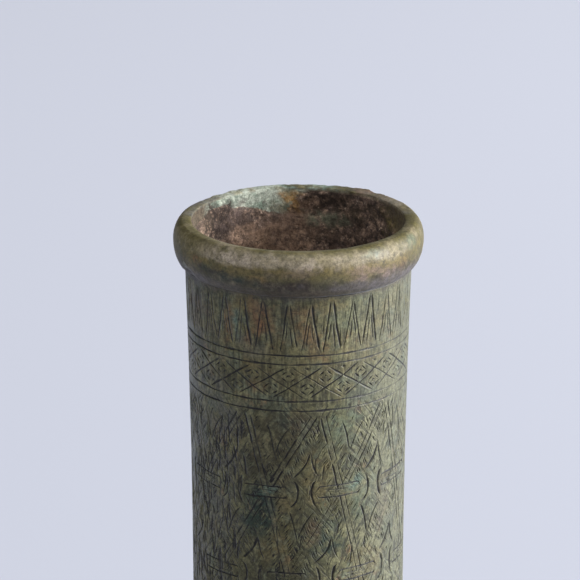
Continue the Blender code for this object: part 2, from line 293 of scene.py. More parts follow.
@dataclass
class Engraving:
    """The neck's ornament, zone by zone from the lip down, cut in the flat by one graver.

    Widths of teeth and lozenges are in degrees, and the rings' sag and tremble in millimetres.
    """

    shape: PotShape
    graver: Graver
    line_width: float = 0.78 * MM
    line_depth: float = 0.30 * MM
    teeth: int = 32
    tooth_tip: float = 0.55
    tooth_gap: float = 0.7
    tooth_bow: float = 0.35
    right_leg_firmer: float = 0.08
    faint_teeth: Place = (42.0, 100.0)
    teeth_faintness: float = 0.3
    inner_tooth_tip: float = 0.3
    strays: int = 3
    teeth_top: float = 13.6 * MM
    teeth_foot: float = 28.9 * MM
    rings: tuple[float, ...] = (29.1 * MM, 31.5 * MM, 41.9 * MM, 44.8 * MM, 142.3 * MM)
    under_lip: float = 12.6 * MM
    ring_width: float = 0.76 * MM
    ring_sag: float = 0.09
    ring_tremble: tuple[Place, ...] = ((17.0, 0.05), (41.0, 0.03))
    ring_press: tuple[Place, ...] = ((11.0, 0.2), (29.0, 0.15))
    ring_lull: tuple[float, ...] = (0.3, 1.0, 1.6, 2.2)
    lull_depth: float = 0.38
    under_lip_press: Place = (0.05, 0.75)
    under_lip_middle: float = 0.5
    under_lip_reach: float = 0.5
    lozenges: int = 19
    lozenge_phase: float = -5.0
    columns: int = 9
    phase: float = 11.4
    rows: int = 4
    steep_shift: float = 0.29
    strip_width: float = 1.45 * MM
    ring_room: float = 0.7 * MM
    bar_room: float = 0.5 * MM
    bar_length: float = 12.8 * MM
    bar_height: float = 3.2 * MM
    bar_corner: float = 0.9 * MM
    bar_line_share: float = 0.85
    hatch_pitch: float = 0.85 * MM
    hatch_length: float = 3.3 * MM
    hatch_width: float = 0.60 * MM
    hatch_depth: float = 0.22 * MM
    hatch_paler: float = 0.35
    low_zone: Place = (95.0 * MM, 115.0 * MM)
    back_zone: Place = (88.0, 115.0)
    front_right_middle: float = 42.0
    front_right_reach: float = 34.0
    scratches: int = 450
    scratched_left: Place = (-95.0, -30.0)

    @property
    def first_row(self) -> float:
        """Depth of the lattice's first row of crossings, between the two rings above it."""
        return (self.rings[2] + self.rings[3]) / 2.0

    @property
    def row_height(self) -> float:
        """Height of one row of the lattice."""
        return (self.rings[4] - self.first_row) / self.rows

    def engrave(self) -> list[Stroke]:
        """Cuts every zone.

        Returns:
            All strokes but the rings, which run all the way round.
        """
        self.cut_teeth()
        self.cut_lozenges()
        self.cut_strips()
        self.cut_bars_and_spindles()
        self.cut_scratches()
        return self.graver.strokes

    def ring_lines(self) -> list[Stroke]:
        """The rings, as strokes that run once round the neck and meet themselves.

        Returns:
            One stroke a ring.
        """
        lines = []
        chance = self.graver.chance
        turn = np.linspace(-math.pi, math.pi, COLUMNS + 1)
        start, full, ebb, end = self.ring_lull
        lull = 1.0 - self.lull_depth * smooth_step(turn, start, full) * (1.0 - smooth_step(turn, ebb, end))
        faint, firm = self.under_lip_press
        for depth in (self.under_lip, *self.rings):
            phases = [chance.uniform(0.0, TURN) for _ in range(6)]
            sag = sum(self.ring_sag / (1.0 + wave) * np.sin((wave + 1) * turn + phases[wave])
                      for wave in range(3))
            tremble = sum(reach * np.sin(waves * turn + phase)
                          for (waves, reach), phase in zip(self.ring_tremble, phases[3:5]))
            press = sum((reach * np.sin(waves * turn + phase)
                         for (waves, reach), phase in zip(self.ring_press, (phases[5], phases[0]))), 1.0)
            middle = np.column_stack((turn * self.shape.waist_radius, (sag + tremble) * MM - depth))
            press *= lull
            if depth == self.under_lip:
                away = (turn - self.under_lip_middle) / self.under_lip_reach
                press *= faint + firm * np.exp(-(away ** 2))
            lines.append(Stroke(middle, self.ring_width / 2.0 * press, self.line_depth, 1.0, True))
        return lines

    def cut_teeth(self) -> None:
        """Tall teeth under the lip, with smaller ones nested in them and a few stray ticks."""
        pitch = 360.0 / self.teeth
        chance = self.graver.chance
        for tooth in range(self.teeth):
            middle = tooth * pitch - 180.0 + pitch / 2.0 + chance.uniform(-0.9, 0.9)
            top = self.teeth_top + chance.uniform(-0.6, 0.9) * MM
            for side in (-1.0, 1.0):
                faint = self.teeth_faintness if self.faint_teeth[0] < middle < self.faint_teeth[1] else 0.0
                firm = chance.uniform(0.7, 1.05) + self.right_leg_firmer * side - faint
                tip = middle + side * self.tooth_tip + chance.uniform(-0.3, 0.3)
                foot = middle + side * (pitch / 2.0 - self.tooth_gap) + chance.uniform(-0.5, 0.4)
                end = self.teeth_foot - chance.uniform(0.0, 1.6) * MM
                bend = (tip + foot) / 2.0 - side * self.tooth_bow
                points = [(tip, top), (bend, (top + end) / 2.0), (foot, end)]
                self.cut(points, *self.press(firm))
                inner = middle + side * self.inner_tooth_tip
                start = top + chance.uniform(4.0, 6.5) * MM
                reach = inner + side * chance.uniform(1.2, 2.3)
                stop = self.teeth_foot - chance.uniform(0.6, 4.0) * MM
                self.cut([(inner, start), (reach, stop)], self.line_width * 0.7, self.line_depth * 0.6, 0.75)
            for _ in range(self.strays):
                stray = middle + chance.uniform(-5.0, 5.0)
                start = self.teeth_top + chance.uniform(2.0, 8.0) * MM
                stop = start + chance.uniform(2.0, 5.0) * MM
                line = [(stray, start), (stray + chance.uniform(-0.6, 0.9), stop)]
                self.cut(line, self.line_width * 0.5, self.line_depth * 0.5, 0.6)

    def press(self, firm: float) -> tuple[float, float, float]:
        """Width, depth and dirt of a line that is cut this firmly."""
        return self.line_width * firm, self.line_depth * firm, min(1.0, firm)

    def cut(self, points: Sequence[Place], width: float, depth: float, soot: float = 1.0) -> None:
        """Cuts a line through points that are given as degrees from the front and depth below the crest."""
        placed = [(self.shape.along(degrees), -down) for degrees, down in points]
        self.graver.cut(placed, width, depth, soot)

    def cut_lozenges(self) -> None:
        """Slanting lines that cross as two staggered rows of lozenges, with nested ones and ovals."""
        pitch = 360.0 / self.lozenges
        top, bottom = self.rings[1], self.rings[2]
        chance = self.graver.chance
        half_row = (bottom - top) / 3.0
        for lozenge in range(self.lozenges):
            tip = self.lozenge_phase + pitch * lozenge - 180.0 + pitch / 2.0
            for side in (-1.0, 1.0):
                firm = chance.uniform(0.8, 1.1) if side < 0.0 else chance.uniform(0.6, 0.95)
                start = (tip + side * chance.uniform(0.2, 0.8), top + chance.uniform(0.3, 0.7) * MM)
                end = (tip + side * 1.5 * pitch, bottom - chance.uniform(0.3, 0.7) * MM)
                self.cut([start, end], self.line_width * firm, self.line_depth * firm, firm)
            for row in (1, 2):
                middle = tip + (pitch / 2.0 if row == 1 else 0.0) + pitch / 2.0
                self.cut_nested(middle + chance.uniform(-0.5, 0.5), top + half_row * row, half_row)
            oval = [(tip + pitch / 2.0 - 1.6, top + 1.15 * MM), (tip + pitch / 2.0 + 1.6, top + 1.1 * MM)]
            self.cut(oval, self.line_width * 1.25, self.line_depth, 1.0)

    def cut_nested(self, middle: float, depth: float, half_row: float) -> None:
        """Cuts one or two small lozenges inside a large one.

        Args:
            middle: Their middle, in degrees from the front.
            depth: Their middle's depth below the crest.
            half_row: Half the height of the large lozenge.
        """
        chance = self.graver.chance
        wide, tall = chance.uniform(3.9, 4.8), half_row * chance.uniform(0.46, 0.56)
        left, top = (middle - wide, depth), (middle, depth - tall)
        right, bottom = (middle + wide, depth), (middle, depth + tall)
        for pair in ((left, top), (top, right), (right, bottom), (bottom, left)):
            self.cut(pair, *self.press(chance.uniform(0.8, 1.15)))
        core = chance.uniform(1.3, 2.1)
        rise = 0.5 * MM
        chevron = [(middle - core, depth + rise), (middle, depth - rise), (middle + core, depth + rise * 0.4)]
        self.cut(chevron, self.line_width * 0.9, self.line_depth * 0.9, 1.0)

    def shift(self, slant: Slant) -> float:
        """How many columns a strip of this slant moves to the right in one row."""
        return self.steep_shift if slant is Slant.STEEP else self.steep_shift - 1.0

    def strip_place(self, column: int, slant: Slant, depth: float) -> float:
        """Degrees from the front of the middle of one of a slant's strips at this depth."""
        moved = self.shift(slant) * ((depth - self.first_row) / self.row_height)
        return self.phase + 360.0 / self.columns * (column - (self.columns + 1) // 2 + moved)

    def lean(self, flat: np.ndarray) -> np.ndarray:
        """Which way the fine ticks lean at each point of the flat.

        Args:
            flat: The points.

        Returns:
            1 beside the steep strips, where they lean to the right, 0 beside the flat ones, and 0.5 off the
            lattice.
        """
        columns = np.degrees(flat[:, 0] / self.shape.waist_radius) - self.phase
        rows = (-flat[:, 1] - self.first_row) / self.row_height
        aways = []
        for slant in Slant:
            place = columns * self.columns / 360.0 - self.shift(slant) * rows
            aways.append(np.abs(place - np.round(place)))
        nearer = np.where(aways[0] < aways[1], 1.0, 0.0)
        return np.where((rows > 0.0) & (rows < self.rows), nearer, 0.5)

    def strip_share(self, flat: np.ndarray) -> np.ndarray:
        """Marks the smooth metal between the two lines of each strip.

        Args:
            flat: The points.

        Returns:
            1 within a strip and 0 off it.
        """
        pitch = self.shape.flat_width / self.columns
        columns = (flat[:, 0] - self.shape.along(self.phase)) / pitch
        rows = (-flat[:, 1] - self.first_row) / self.row_height
        share = np.zeros(len(flat))
        for slant in Slant:
            place = columns - self.shift(slant) * rows
            slope = math.atan(self.shift(slant) * pitch / self.row_height)
            away = np.abs(place - np.round(place)) * pitch * math.cos(slope)
            share = np.maximum(share, 1.0 - smooth_step(away, 0.3 * self.strip_width, 0.5 * self.strip_width))
        return share * (rows > 0.0) * (rows < self.rows)

    def cut_strips(self) -> None:
        """The lattice's double lines, steep ones to the right and flatter ones to the left, with hatching."""
        chance = self.graver.chance
        room = self.bar_height / 2.0 + self.bar_room
        for column in range(self.columns):
            for row in range(self.rows):
                crossing = self.first_row + self.row_height * row
                for slant in Slant:
                    steep = slant is Slant.STEEP
                    upper = max(self.rings[3] + self.ring_room, crossing + (0.1 * MM if steep else room))
                    lower = crossing + self.row_height - (0.3 * MM if steep and row < self.rows - 1 else room)
                    lower = min(lower, self.rings[4] - self.ring_room)
                    firm = chance.uniform(0.9, 1.15) if row == 0 else chance.uniform(0.65, 0.95)
                    middle = [(self.strip_place(column, slant, depth), depth) for depth in (upper, lower)]
                    across = self.shape.along((middle[0][0] + middle[1][0]) / 2.0)
                    firm *= 1.0 - slant.faintness(row) * self.front_right(across)
                    self.cut_double(middle, firm)
                    self.hatch_strip(column, slant, upper, lower)

    def cut_double(self, middle: Sequence[Place], firm: float) -> None:
        """Cuts two lines on either side of this middle line.

        Args:
            middle: The two ends, in degrees and depth.
            firm: How hard the hand presses, 1 for the plain width.
        """
        chance = self.graver.chance
        ends = np.array([(self.shape.along(degrees), -depth) for degrees, depth in middle])
        run = (ends[1] - ends[0]) / np.linalg.norm(ends[1] - ends[0])
        across = np.array((-run[1], run[0])) * self.strip_width / 2.0
        for side in (-1.0, 1.0):
            slip = run * chance.uniform(-0.3, 0.5) * MM
            start, end = ends[0] + across * side + slip, ends[1] + across * side - slip
            breaks = [0.0, chance.uniform(0.25, 0.42), chance.uniform(0.58, 0.78), 1.0]
            for first, last in zip(breaks, breaks[1:]):
                hand = firm * chance.uniform(0.6, 1.15)
                line = [tuple(start + (end - start) * first), tuple(start + (end - start) * (last + 0.03))]
                self.graver.cut(line, *self.press(hand))

    def hatch_strip(self, column: int, slant: Slant, upper: float, lower: float) -> None:
        """Cuts rows of short ticks that lean against a strip on both its sides.

        Args:
            column: Which strip it is.
            slant: Its slant.
            upper: Depth at which the ticks begin.
            lower: Depth at which they end.
        """
        chance = self.graver.chance
        start = np.array((self.shape.along(self.strip_place(column, slant, upper)), -upper))
        end = np.array((self.shape.along(self.strip_place(column, slant, lower)), -lower))
        length = float(np.linalg.norm(end - start))
        run = (end - start) / length
        across = np.array((-run[1], run[0]))
        for side in (-1.0, 1.0):
            for tick in range(int(length / self.hatch_pitch)):
                travel = (tick + chance.uniform(0.25, 0.75)) * self.hatch_pitch
                reach = self.hatch_length * chance.uniform(0.55, 1.2)
                if chance.random() < self.sparseness(start + run * travel, slant, side):
                    continue
                away = self.strip_width / 2.0 + chance.uniform(0.35, 0.7) * MM
                root = start + run * travel + across * side * away
                outward = float(np.dot(slant.tick_way, across * side))
                tip = root + slant.tick_way * reach * (1.0 if outward > 0.0 else -1.0)
                if not self.rings[3] + 0.5 * MM < -tip[1] < self.rings[4] - 0.5 * MM:
                    continue
                soot = chance.uniform(0.55, 1.0) * (1.0 - self.hatch_paler * self.front_right(root[0]))
                width = self.hatch_width * chance.uniform(0.8, 1.25)
                self.graver.nick(tuple(root), tuple(tip), width, self.hatch_depth, soot)

    def sparseness(self, start: np.ndarray, slant: Slant, side: float) -> float:
        """Share of ticks that is left out beside a strip, more low down and at the back.

        Args:
            start: The tick's place in the flat.
            slant: The strip's slant.
            side: -1 or 1, the side of the strip.

        Returns:
            The share left out, from 0 to 1.
        """
        low = smooth_step(-start[1], *self.low_zone)
        first, last = self.back_zone
        back = smooth_step(abs(start[0]), self.shape.along(first), self.shape.along(last))
        thin = max(0.6 * low, 0.6 * back, 0.45 * self.front_right(start[0]))
        return min(0.9, (0.3 if slant is Slant.STEEP and side > 0.0 else 0.04) + thin)

    def front_right(self, across: float) -> float:
        """1 on the front right of the flat, where the hatching is sparse and fine, and 0 elsewhere."""
        middle, reach = self.shape.along(self.front_right_middle), self.shape.along(self.front_right_reach)
        return 1.0 - smooth_step(abs(across - middle), 0.7 * reach, 1.2 * reach)

    def cut_scratches(self) -> None:
        """Long near-upright strokes that fill the ground of the lattice, densest on the left."""
        chance = self.graver.chance
        for scratch in range(self.scratches):
            left = scratch % 3 != 0
            degrees = chance.uniform(*self.scratched_left) if left else chance.uniform(-180.0, 180.0)
            top = chance.uniform(self.rings[3] + 1.0 * MM, self.rings[4] - 12.0 * MM)
            reach = chance.uniform(3.5, 8.0) * MM
            slant = chance.uniform(-2.2, 2.2)
            firm = chance.uniform(0.8, 1.15) if left else chance.uniform(0.5, 0.8)
            middle = (degrees + slant * 0.5 + chance.uniform(-0.5, 0.5), top + reach / 2.0)
            self.cut([(degrees, top), middle, (degrees + slant, top + reach)], *self.press(firm))

    def cut_bars_and_spindles(self) -> None:
        """A rounded bar over each crossing, and an upright spindle halfway between two bars."""
        pitch = 360.0 / self.columns
        for column in range(self.columns):
            for row in range(self.rows + 1):
                depth = self.first_row + self.row_height * row
                middle = self.strip_place(column, Slant.STEEP, depth)
                if 0 < row < self.rows:
                    self.cut_bar(middle - 1.0, depth)
                self.cut_spindle(middle + pitch / 2.0, depth)

    def cut_bar(self, middle: float, depth: float) -> None:
        """Cuts one bar with round ends as an upper and a lower line.

        Args:
            middle: Its middle, in degrees from the front.
            depth: Its middle's depth below the crest.
        """
        chance = self.graver.chance
        across = self.shape.along(middle)
        half = self.bar_length / 2.0 * chance.uniform(0.92, 1.1)
        tall = self.bar_height / 2.0
        tilt = chance.uniform(-0.04, 0.04)
        corner = self.bar_corner
        for side in (-1.0, 1.0):
            level = -depth + side * tall
            points = [
                (across - half, -depth + side * 0.35 * MM),
                (across - half + corner * 0.3, level - side * corner * 0.3),
                (across - half + corner, level),
                (across + half - corner, level + tilt * half),
                (across + half - corner * 0.3, level - side * corner * 0.3),
                (across + half, -depth + side * 0.35 * MM),
            ]
            firm = chance.uniform(0.85, 1.15)
            width = self.line_width * self.bar_line_share * firm
            self.graver.cut(points, width, self.line_depth * firm, min(1.0, firm))
        for share in (-0.3, 0.3):
            firm = chance.uniform(0.4, 0.7)
            left, right = chance.uniform(0.5, 0.8), chance.uniform(0.1, 0.7)
            level = share * tall - depth
            line = [(across - half * left, level), (across + half * right, level)]
            self.graver.cut(line, *self.press(firm))

    def cut_spindle(self, middle: float, depth: float) -> None:
        """Cuts one spindle: an arch of two legs, an open waist of two bows, and a point of two legs.

        Args:
            middle: The middle of its waist, in degrees from the front.
            depth: Its waist's depth below the crest.
        """
        chance = self.graver.chance
        arch_left = [(1.7, 12.0), (1.2, 9.8), (0.2, 7.7), (-1.5, 5.6), (-3.4, 4.2)]
        arch_right = [(1.7, 12.0), (2.0, 9.4), (2.6, 7.0), (3.9, 4.4)]
        bow_left = [(-3.0, 3.9), (-1.9, 2.2), (-1.5, 0.0), (-2.0, -2.4), (-3.2, -3.9), (-4.4, -4.4)]
        bow_right = [(3.4, 4.0), (2.2, 2.2), (1.8, 0.2), (2.2, -2.3), (3.4, -4.6)]
        point_left = [(-4.3, -4.6), (-3.3, -7.0), (-2.5, -10.6), (-1.9, -14.0)]
        point_right = [(2.9, -5.2), (1.4, -6.8), (0.0, -9.0), (-1.1, -11.6), (-1.9, -14.0)]
        dots = [[(0.1, 3.2), (0.9, 4.8)], [(-1.4, -5.2), (-0.8, -3.8)]]
        for line in (arch_left, arch_right, bow_left, bow_right, point_left, point_right, *dots):
            strong = line in (bow_left, bow_right, arch_left)
            firm = chance.uniform(1.0, 1.35) if strong else chance.uniform(0.65, 1.0)
            points = [(self.shape.along(middle) + x * MM, y * MM - depth) for x, y in line]
            inside = [p for p in points if self.rings[3] + 0.6 * MM < -p[1] < self.rings[4] - 0.6 * MM]
            if len(inside) == len(points):
                self.graver.cut(points, *self.press(firm))


@dataclass
class FlatSheet:
    """The neck laid flat: points, and the lines that its triangles have to follow."""

    shape: PotShape
    points: list[Vector] = field(default_factory=list)
    lines: list[tuple[int, int]] = field(default_factory=list)

    def add(self, points: Sequence[Place], lines: Sequence[tuple[int, int]]) -> None:
        """Adds points, and lines between them.

        Args:
            points: The points.
            lines: Pairs of places in the list of these points.
        """
        first = len(self.points)
        self.points += [Vector((float(x), float(y))) for x, y in points]
        self.lines += [(first + a, first + b) for a, b in lines]

    def add_chain(self, points: Sequence[Place]) -> None:
        """Adds points with a line from each to the next."""
        self.add(points, [(place, place + 1) for place in range(len(points) - 1)])

    def add_stroke(self, stroke: Stroke) -> None:
        """Adds a cut's middle line and its two edges, which meet it at a pointed end."""
        for chain in (stroke.middle, *stroke.sides()):
            self.add_chain(chain)

    def triangles(self, nearness: float) -> tuple[np.ndarray, list[list[int]]]:
        """Fills the sheet with triangles.

        Args:
            nearness: Points closer than this become one.

        Returns:
            The sheet's points and the triangles between its two upright sides.
        """
        places, _, faces, *_ = delaunay_2d_cdt(self.points, self.lines, [], 0, nearness)
        flat = np.array([tuple(place) for place in places])
        edge = self.shape.flat_width / 2.0
        top, bottom = -self.shape.lip_height, -self.shape.neck_bottom
        kept = []
        for face in faces:
            middle = flat[face].mean(axis=0)
            if -edge < middle[0] < edge and bottom < middle[1] < top:
                kept.append(list(face))
        return flat, kept


@dataclass
class EngravedNeck:
    """The neck from under the lip to where it curves out, as a sheet of triangles rolled round."""

    shape: PotShape
    engraving: Engraving
    bare_step: float = 1.7 * MM
    clearance: float = 0.45 * MM
    nearness: float = 0.012 * MM
    paint_cell: float = 0.25 * MM
    search_cell: float = 1.5 * MM

    def build(self, name: str) -> bpy.types.Object:
        """Draws the sheet, cuts the strokes into it and rolls it round.

        Args:
            name: The new object's name.

        Returns:
            The neck as an open tube, with the dirt in its cuts as an attribute.
        """
        shape = self.shape
        rings = self.engraving.ring_lines()
        strokes = rings + self.within_sheet(self.engraving.engrave())
        sheet = FlatSheet(shape)
        edge = shape.flat_width / 2.0
        columns = np.linspace(-edge, edge, COLUMNS + 1)
        for depth in (shape.lip_height, shape.neck_bottom):
            sheet.add_chain([(x, -depth) for x in columns])
        rows = int((shape.neck_bottom - shape.lip_height) / self.bare_step)
        levels = np.linspace(-shape.lip_height, -shape.neck_bottom, rows + 1)
        for side in (-edge, edge):
            sheet.add_chain([(side, level) for level in levels])
        for stroke in strokes:
            sheet.add_stroke(stroke)
        sheet.add(self.bare_points(strokes, levels[1:-1]), [])
        flat, faces = sheet.triangles(self.nearness)
        cut, soot = self.depths(flat, strokes)
        LOG.info("%d strokes, %d triangles in the neck's sheet", len(strokes), len(faces))
        return self.roll(name, flat, faces, cut, soot)

    def within_sheet(self, strokes: Sequence[Stroke]) -> list[Stroke]:
        """Brings strokes round into the sheet, and parts those that cross its sides at the back.

        Args:
            strokes: The strokes, which may lie anywhere round the neck.

        Returns:
            The strokes that lie within the sheet.
        """
        edge = self.shape.flat_width / 2.0
        placed = []
        for stroke in strokes:
            home = stroke.shifted(-2.0 * edge * round(stroke.middle[:, 0].mean() / (2.0 * edge)))
            for copy in (home, home.shifted(-2.0 * edge), home.shifted(2.0 * edge)):
                inside = np.flatnonzero(np.abs(copy.middle[:, 0]) < edge - self.clearance)
                if len(inside) == len(copy.middle):
                    placed.append(copy)
                elif len(inside) > 2:
                    placed.append(copy.part(inside[0], inside[-1] + 1))
        return placed

    def bare_points(self, strokes: Sequence[Stroke], levels: np.ndarray) -> list[Place]:
        """Points in staggered rows on the bare metal between the strokes.

        Args:
            strokes: The cuts to keep clear of.
            levels: Heights of the rows in the flat.

        Returns:
            The points.
        """
        edge = self.shape.flat_width / 2.0
        cell = self.paint_cell
        wide = int(2.0 * edge / cell) + 3
        tall = int((self.shape.neck_bottom - self.shape.lip_height) / cell) + 3
        painted = np.zeros((wide, tall), bool)
        for stroke in strokes:
            for start, end in zip(stroke.middle, stroke.middle[1:]):
                count = int(np.linalg.norm(end - start) / cell * 1.5) + 2
                spots = start + (end - start) * np.linspace(0.0, 1.0, count)[:, None]
                across = ((spots[:, 0] + edge) / cell + 1.0).astype(int)
                down = ((-self.shape.lip_height - spots[:, 1]) / cell + 1.0).astype(int)
                inside = (across >= 0) & (across < wide) & (down >= 0) & (down < tall)
                painted[across[inside], down[inside]] = True
        reach = int(round((self.clearance + 0.3 * MM) / cell))
        taken = painted.copy()
        for x in range(-reach, reach + 1):
            for y in range(-reach, reach + 1):
                if x * x + y * y <= reach * reach:
                    taken |= np.roll(painted, (x, y), axis=(0, 1))
        points = []
        count = int(2.0 * edge / self.bare_step)
        pitch = 2.0 * edge / count
        for row, level in enumerate(levels):
            start = pitch * (0.5 + 0.5 * (row % 2))
            for column in range(count - row % 2):
                x = -edge + start + pitch * column
                spot = int((x + edge) / cell + 1.0), int((-self.shape.lip_height - level) / cell + 1.0)
                if not taken[spot]:
                    points.append((x, level))
        return points

    def depths(self, flat: np.ndarray, strokes: Sequence[Stroke]) -> tuple[np.ndarray, np.ndarray]:
        """How deep the metal is cut, and how dark the dirt lies, at each point of the sheet.

        Args:
            flat: The sheet's points.
            strokes: The cuts.

        Returns:
            The depths in metres and the dirt from 0 to 1.
        """
        cells = defaultdict(list)
        for place, key in enumerate(map(tuple, np.floor(flat / self.search_cell).astype(int))):
            cells[key].append(place)
        cut = np.zeros(len(flat))
        soot = np.zeros(len(flat))
        for stroke in strokes:
            widest = stroke.half.max()
            ends = zip(stroke.middle, stroke.middle[1:], stroke.half, stroke.half[1:])
            for start, end, half_start, half_end in ends:
                low = np.floor((np.minimum(start, end) - widest) / self.search_cell).astype(int)
                high = np.floor((np.maximum(start, end) + widest) / self.search_cell).astype(int)
                near = [place for x in range(low[0], high[0] + 1) for y in range(low[1], high[1] + 1)
                        for place in cells.get((x, y), ())]
                if not near:
                    continue
                places = flat[near]
                run = end - start
                share = np.clip((places - start) @ run / max(float(run @ run), 1e-12), 0.0, 1.0)
                away = np.linalg.norm(places - start - share[:, None] * run, axis=1)
                half = half_start + (half_end - half_start) * share
                weight = np.clip(1.0 - away / np.maximum(half, 1e-6), 0.0, 1.0)
                cut[near] = np.maximum(cut[near], weight * half / widest * stroke.depth)
                soot[near] = np.maximum(soot[near], weight * stroke.soot * np.sqrt(half / widest))
        return cut, soot

    def roll(self, name: str, flat: np.ndarray, faces: list[list[int]], cut: np.ndarray,
             soot: np.ndarray) -> bpy.types.Object:
        """Rolls the sheet round the neck.

        Args:
            name: The new object's name.
            flat: The sheet's points.
            faces: Its triangles.
            cut: How deep each point is cut.
            soot: How dark the dirt lies at each point.

        Returns:
            The rolled mesh as an object.
        """
        turn = flat[:, 0] / self.shape.waist_radius
        depth = -flat[:, 1]
        radius = self.shape.neck_radius(depth) - cut
        verts = np.column_stack((radius * np.sin(turn), -radius * np.cos(turn), self.shape.crest - depth))
        mesh = bpy.data.meshes.new(name)
        mesh.from_pydata([tuple(vert) for vert in verts], [], faces)
        write_values(mesh, "soot", soot)
        write_values(mesh, "lean", self.engraving.lean(flat))
        write_values(mesh, "strip", self.engraving.strip_share(flat))
        neck = bpy.data.objects.new(name, mesh)
        bpy.context.scene.collection.objects.link(neck)
        return neck


def write_values(mesh: bpy.types.Mesh, name: str, values: np.ndarray) -> None:
    """Gives each of the mesh's points a value under this name."""
    mesh.attributes.new(name, "FLOAT", "POINT").data.foreach_set("value", values.astype(np.float32))


def deselect_all() -> None:
    """Leaves object mode and selects nothing, because operators act on all that is selected."""
    if bpy.context.object and bpy.context.object.mode != "OBJECT":
        bpy.ops.object.mode_set(mode="OBJECT")
    bpy.ops.object.select_all(action="DESELECT")


def spin_profile(name: str, profile: Sequence[Place]) -> bpy.types.Object:
    """Turns a profile once round the pot's axis.

    Args:
        name: The new object's name.
        profile: Radii and heights from end to end.

    Returns:
        The turned shell.
    """
    deselect_all()
    radius, height = profile[0]
    bpy.ops.mesh.primitive_plane_add(size=MM, location=(radius, 0.0, height))
    shell = bpy.context.active_object
    shell.name = name
    bpy.ops.object.transform_apply(location=True, rotation=False, scale=False)
    bpy.ops.object.mode_set(mode="EDIT")
    bpy.ops.mesh.select_all(action="SELECT")
    bpy.ops.mesh.merge(type="CENTER")
    for (radius, height), (next_radius, next_height) in zip(profile, profile[1:]):
        move = (next_radius - radius, 0.0, next_height - height)
        bpy.ops.mesh.extrude_region_move(TRANSFORM_OT_translate={"value": move})
    bpy.ops.mesh.select_all(action="SELECT")
    bpy.ops.mesh.spin(steps=COLUMNS, angle=2.0 * math.pi, center=(0.0, 0.0, 0.0), axis=(0.0, 0.0, 1.0))
    bpy.ops.mesh.select_all(action="SELECT")
    bpy.ops.mesh.remove_doubles(threshold=WELD)
    bpy.ops.object.mode_set(mode="OBJECT")
    return shell


def curve_points(start: Place, end: Place, row: float, leaves_upright: bool) -> list[Place]:
    """Points of a quarter ellipse in a profile, without its first point.

    Args:
        start: Its first radius and height.
        end: Its last radius and height.
        row: About how far apart the points are.
        leaves_upright: Whether it starts upright and ends level, or the other way round.

    Returns:
        The points.
    """
    steps = math.ceil(math.dist(start, end) * CURVE_SHARE / row)
    points = []
    for step in range(1, steps + 1):
        turn = math.pi / 2.0 * step / steps
        across, along = math.sin(turn), 1.0 - math.cos(turn)
        if leaves_upright:
            across, along = along, across
        points.append((start[0] + (end[0] - start[0]) * across, start[1] + (end[1] - start[1]) * along))
    return points


def hollow_curve(start: Place, corner: Place, end: Place, row: float) -> list[Place]:
    """Points of a curve that leaves start and reaches end, both heading for the corner.

    Args:
        start: Its first radius and height.
        corner: The corner that it rounds.
        end: Its last radius and height.
        row: About how far apart the points are.

    Returns:
        The points, both ends included.
    """
    steps = math.ceil(math.dist(start, end) * CURVE_SHARE / row)
    points = []
    for step in range(steps + 1):
        t = step / steps
        pulls = (((1.0 - t) ** 2, start), (2.0 * t * (1.0 - t), corner), (t * t, end))
        points.append(tuple(sum(weight * place[axis] for weight, place in pulls) for axis in (0, 1)))
    return points


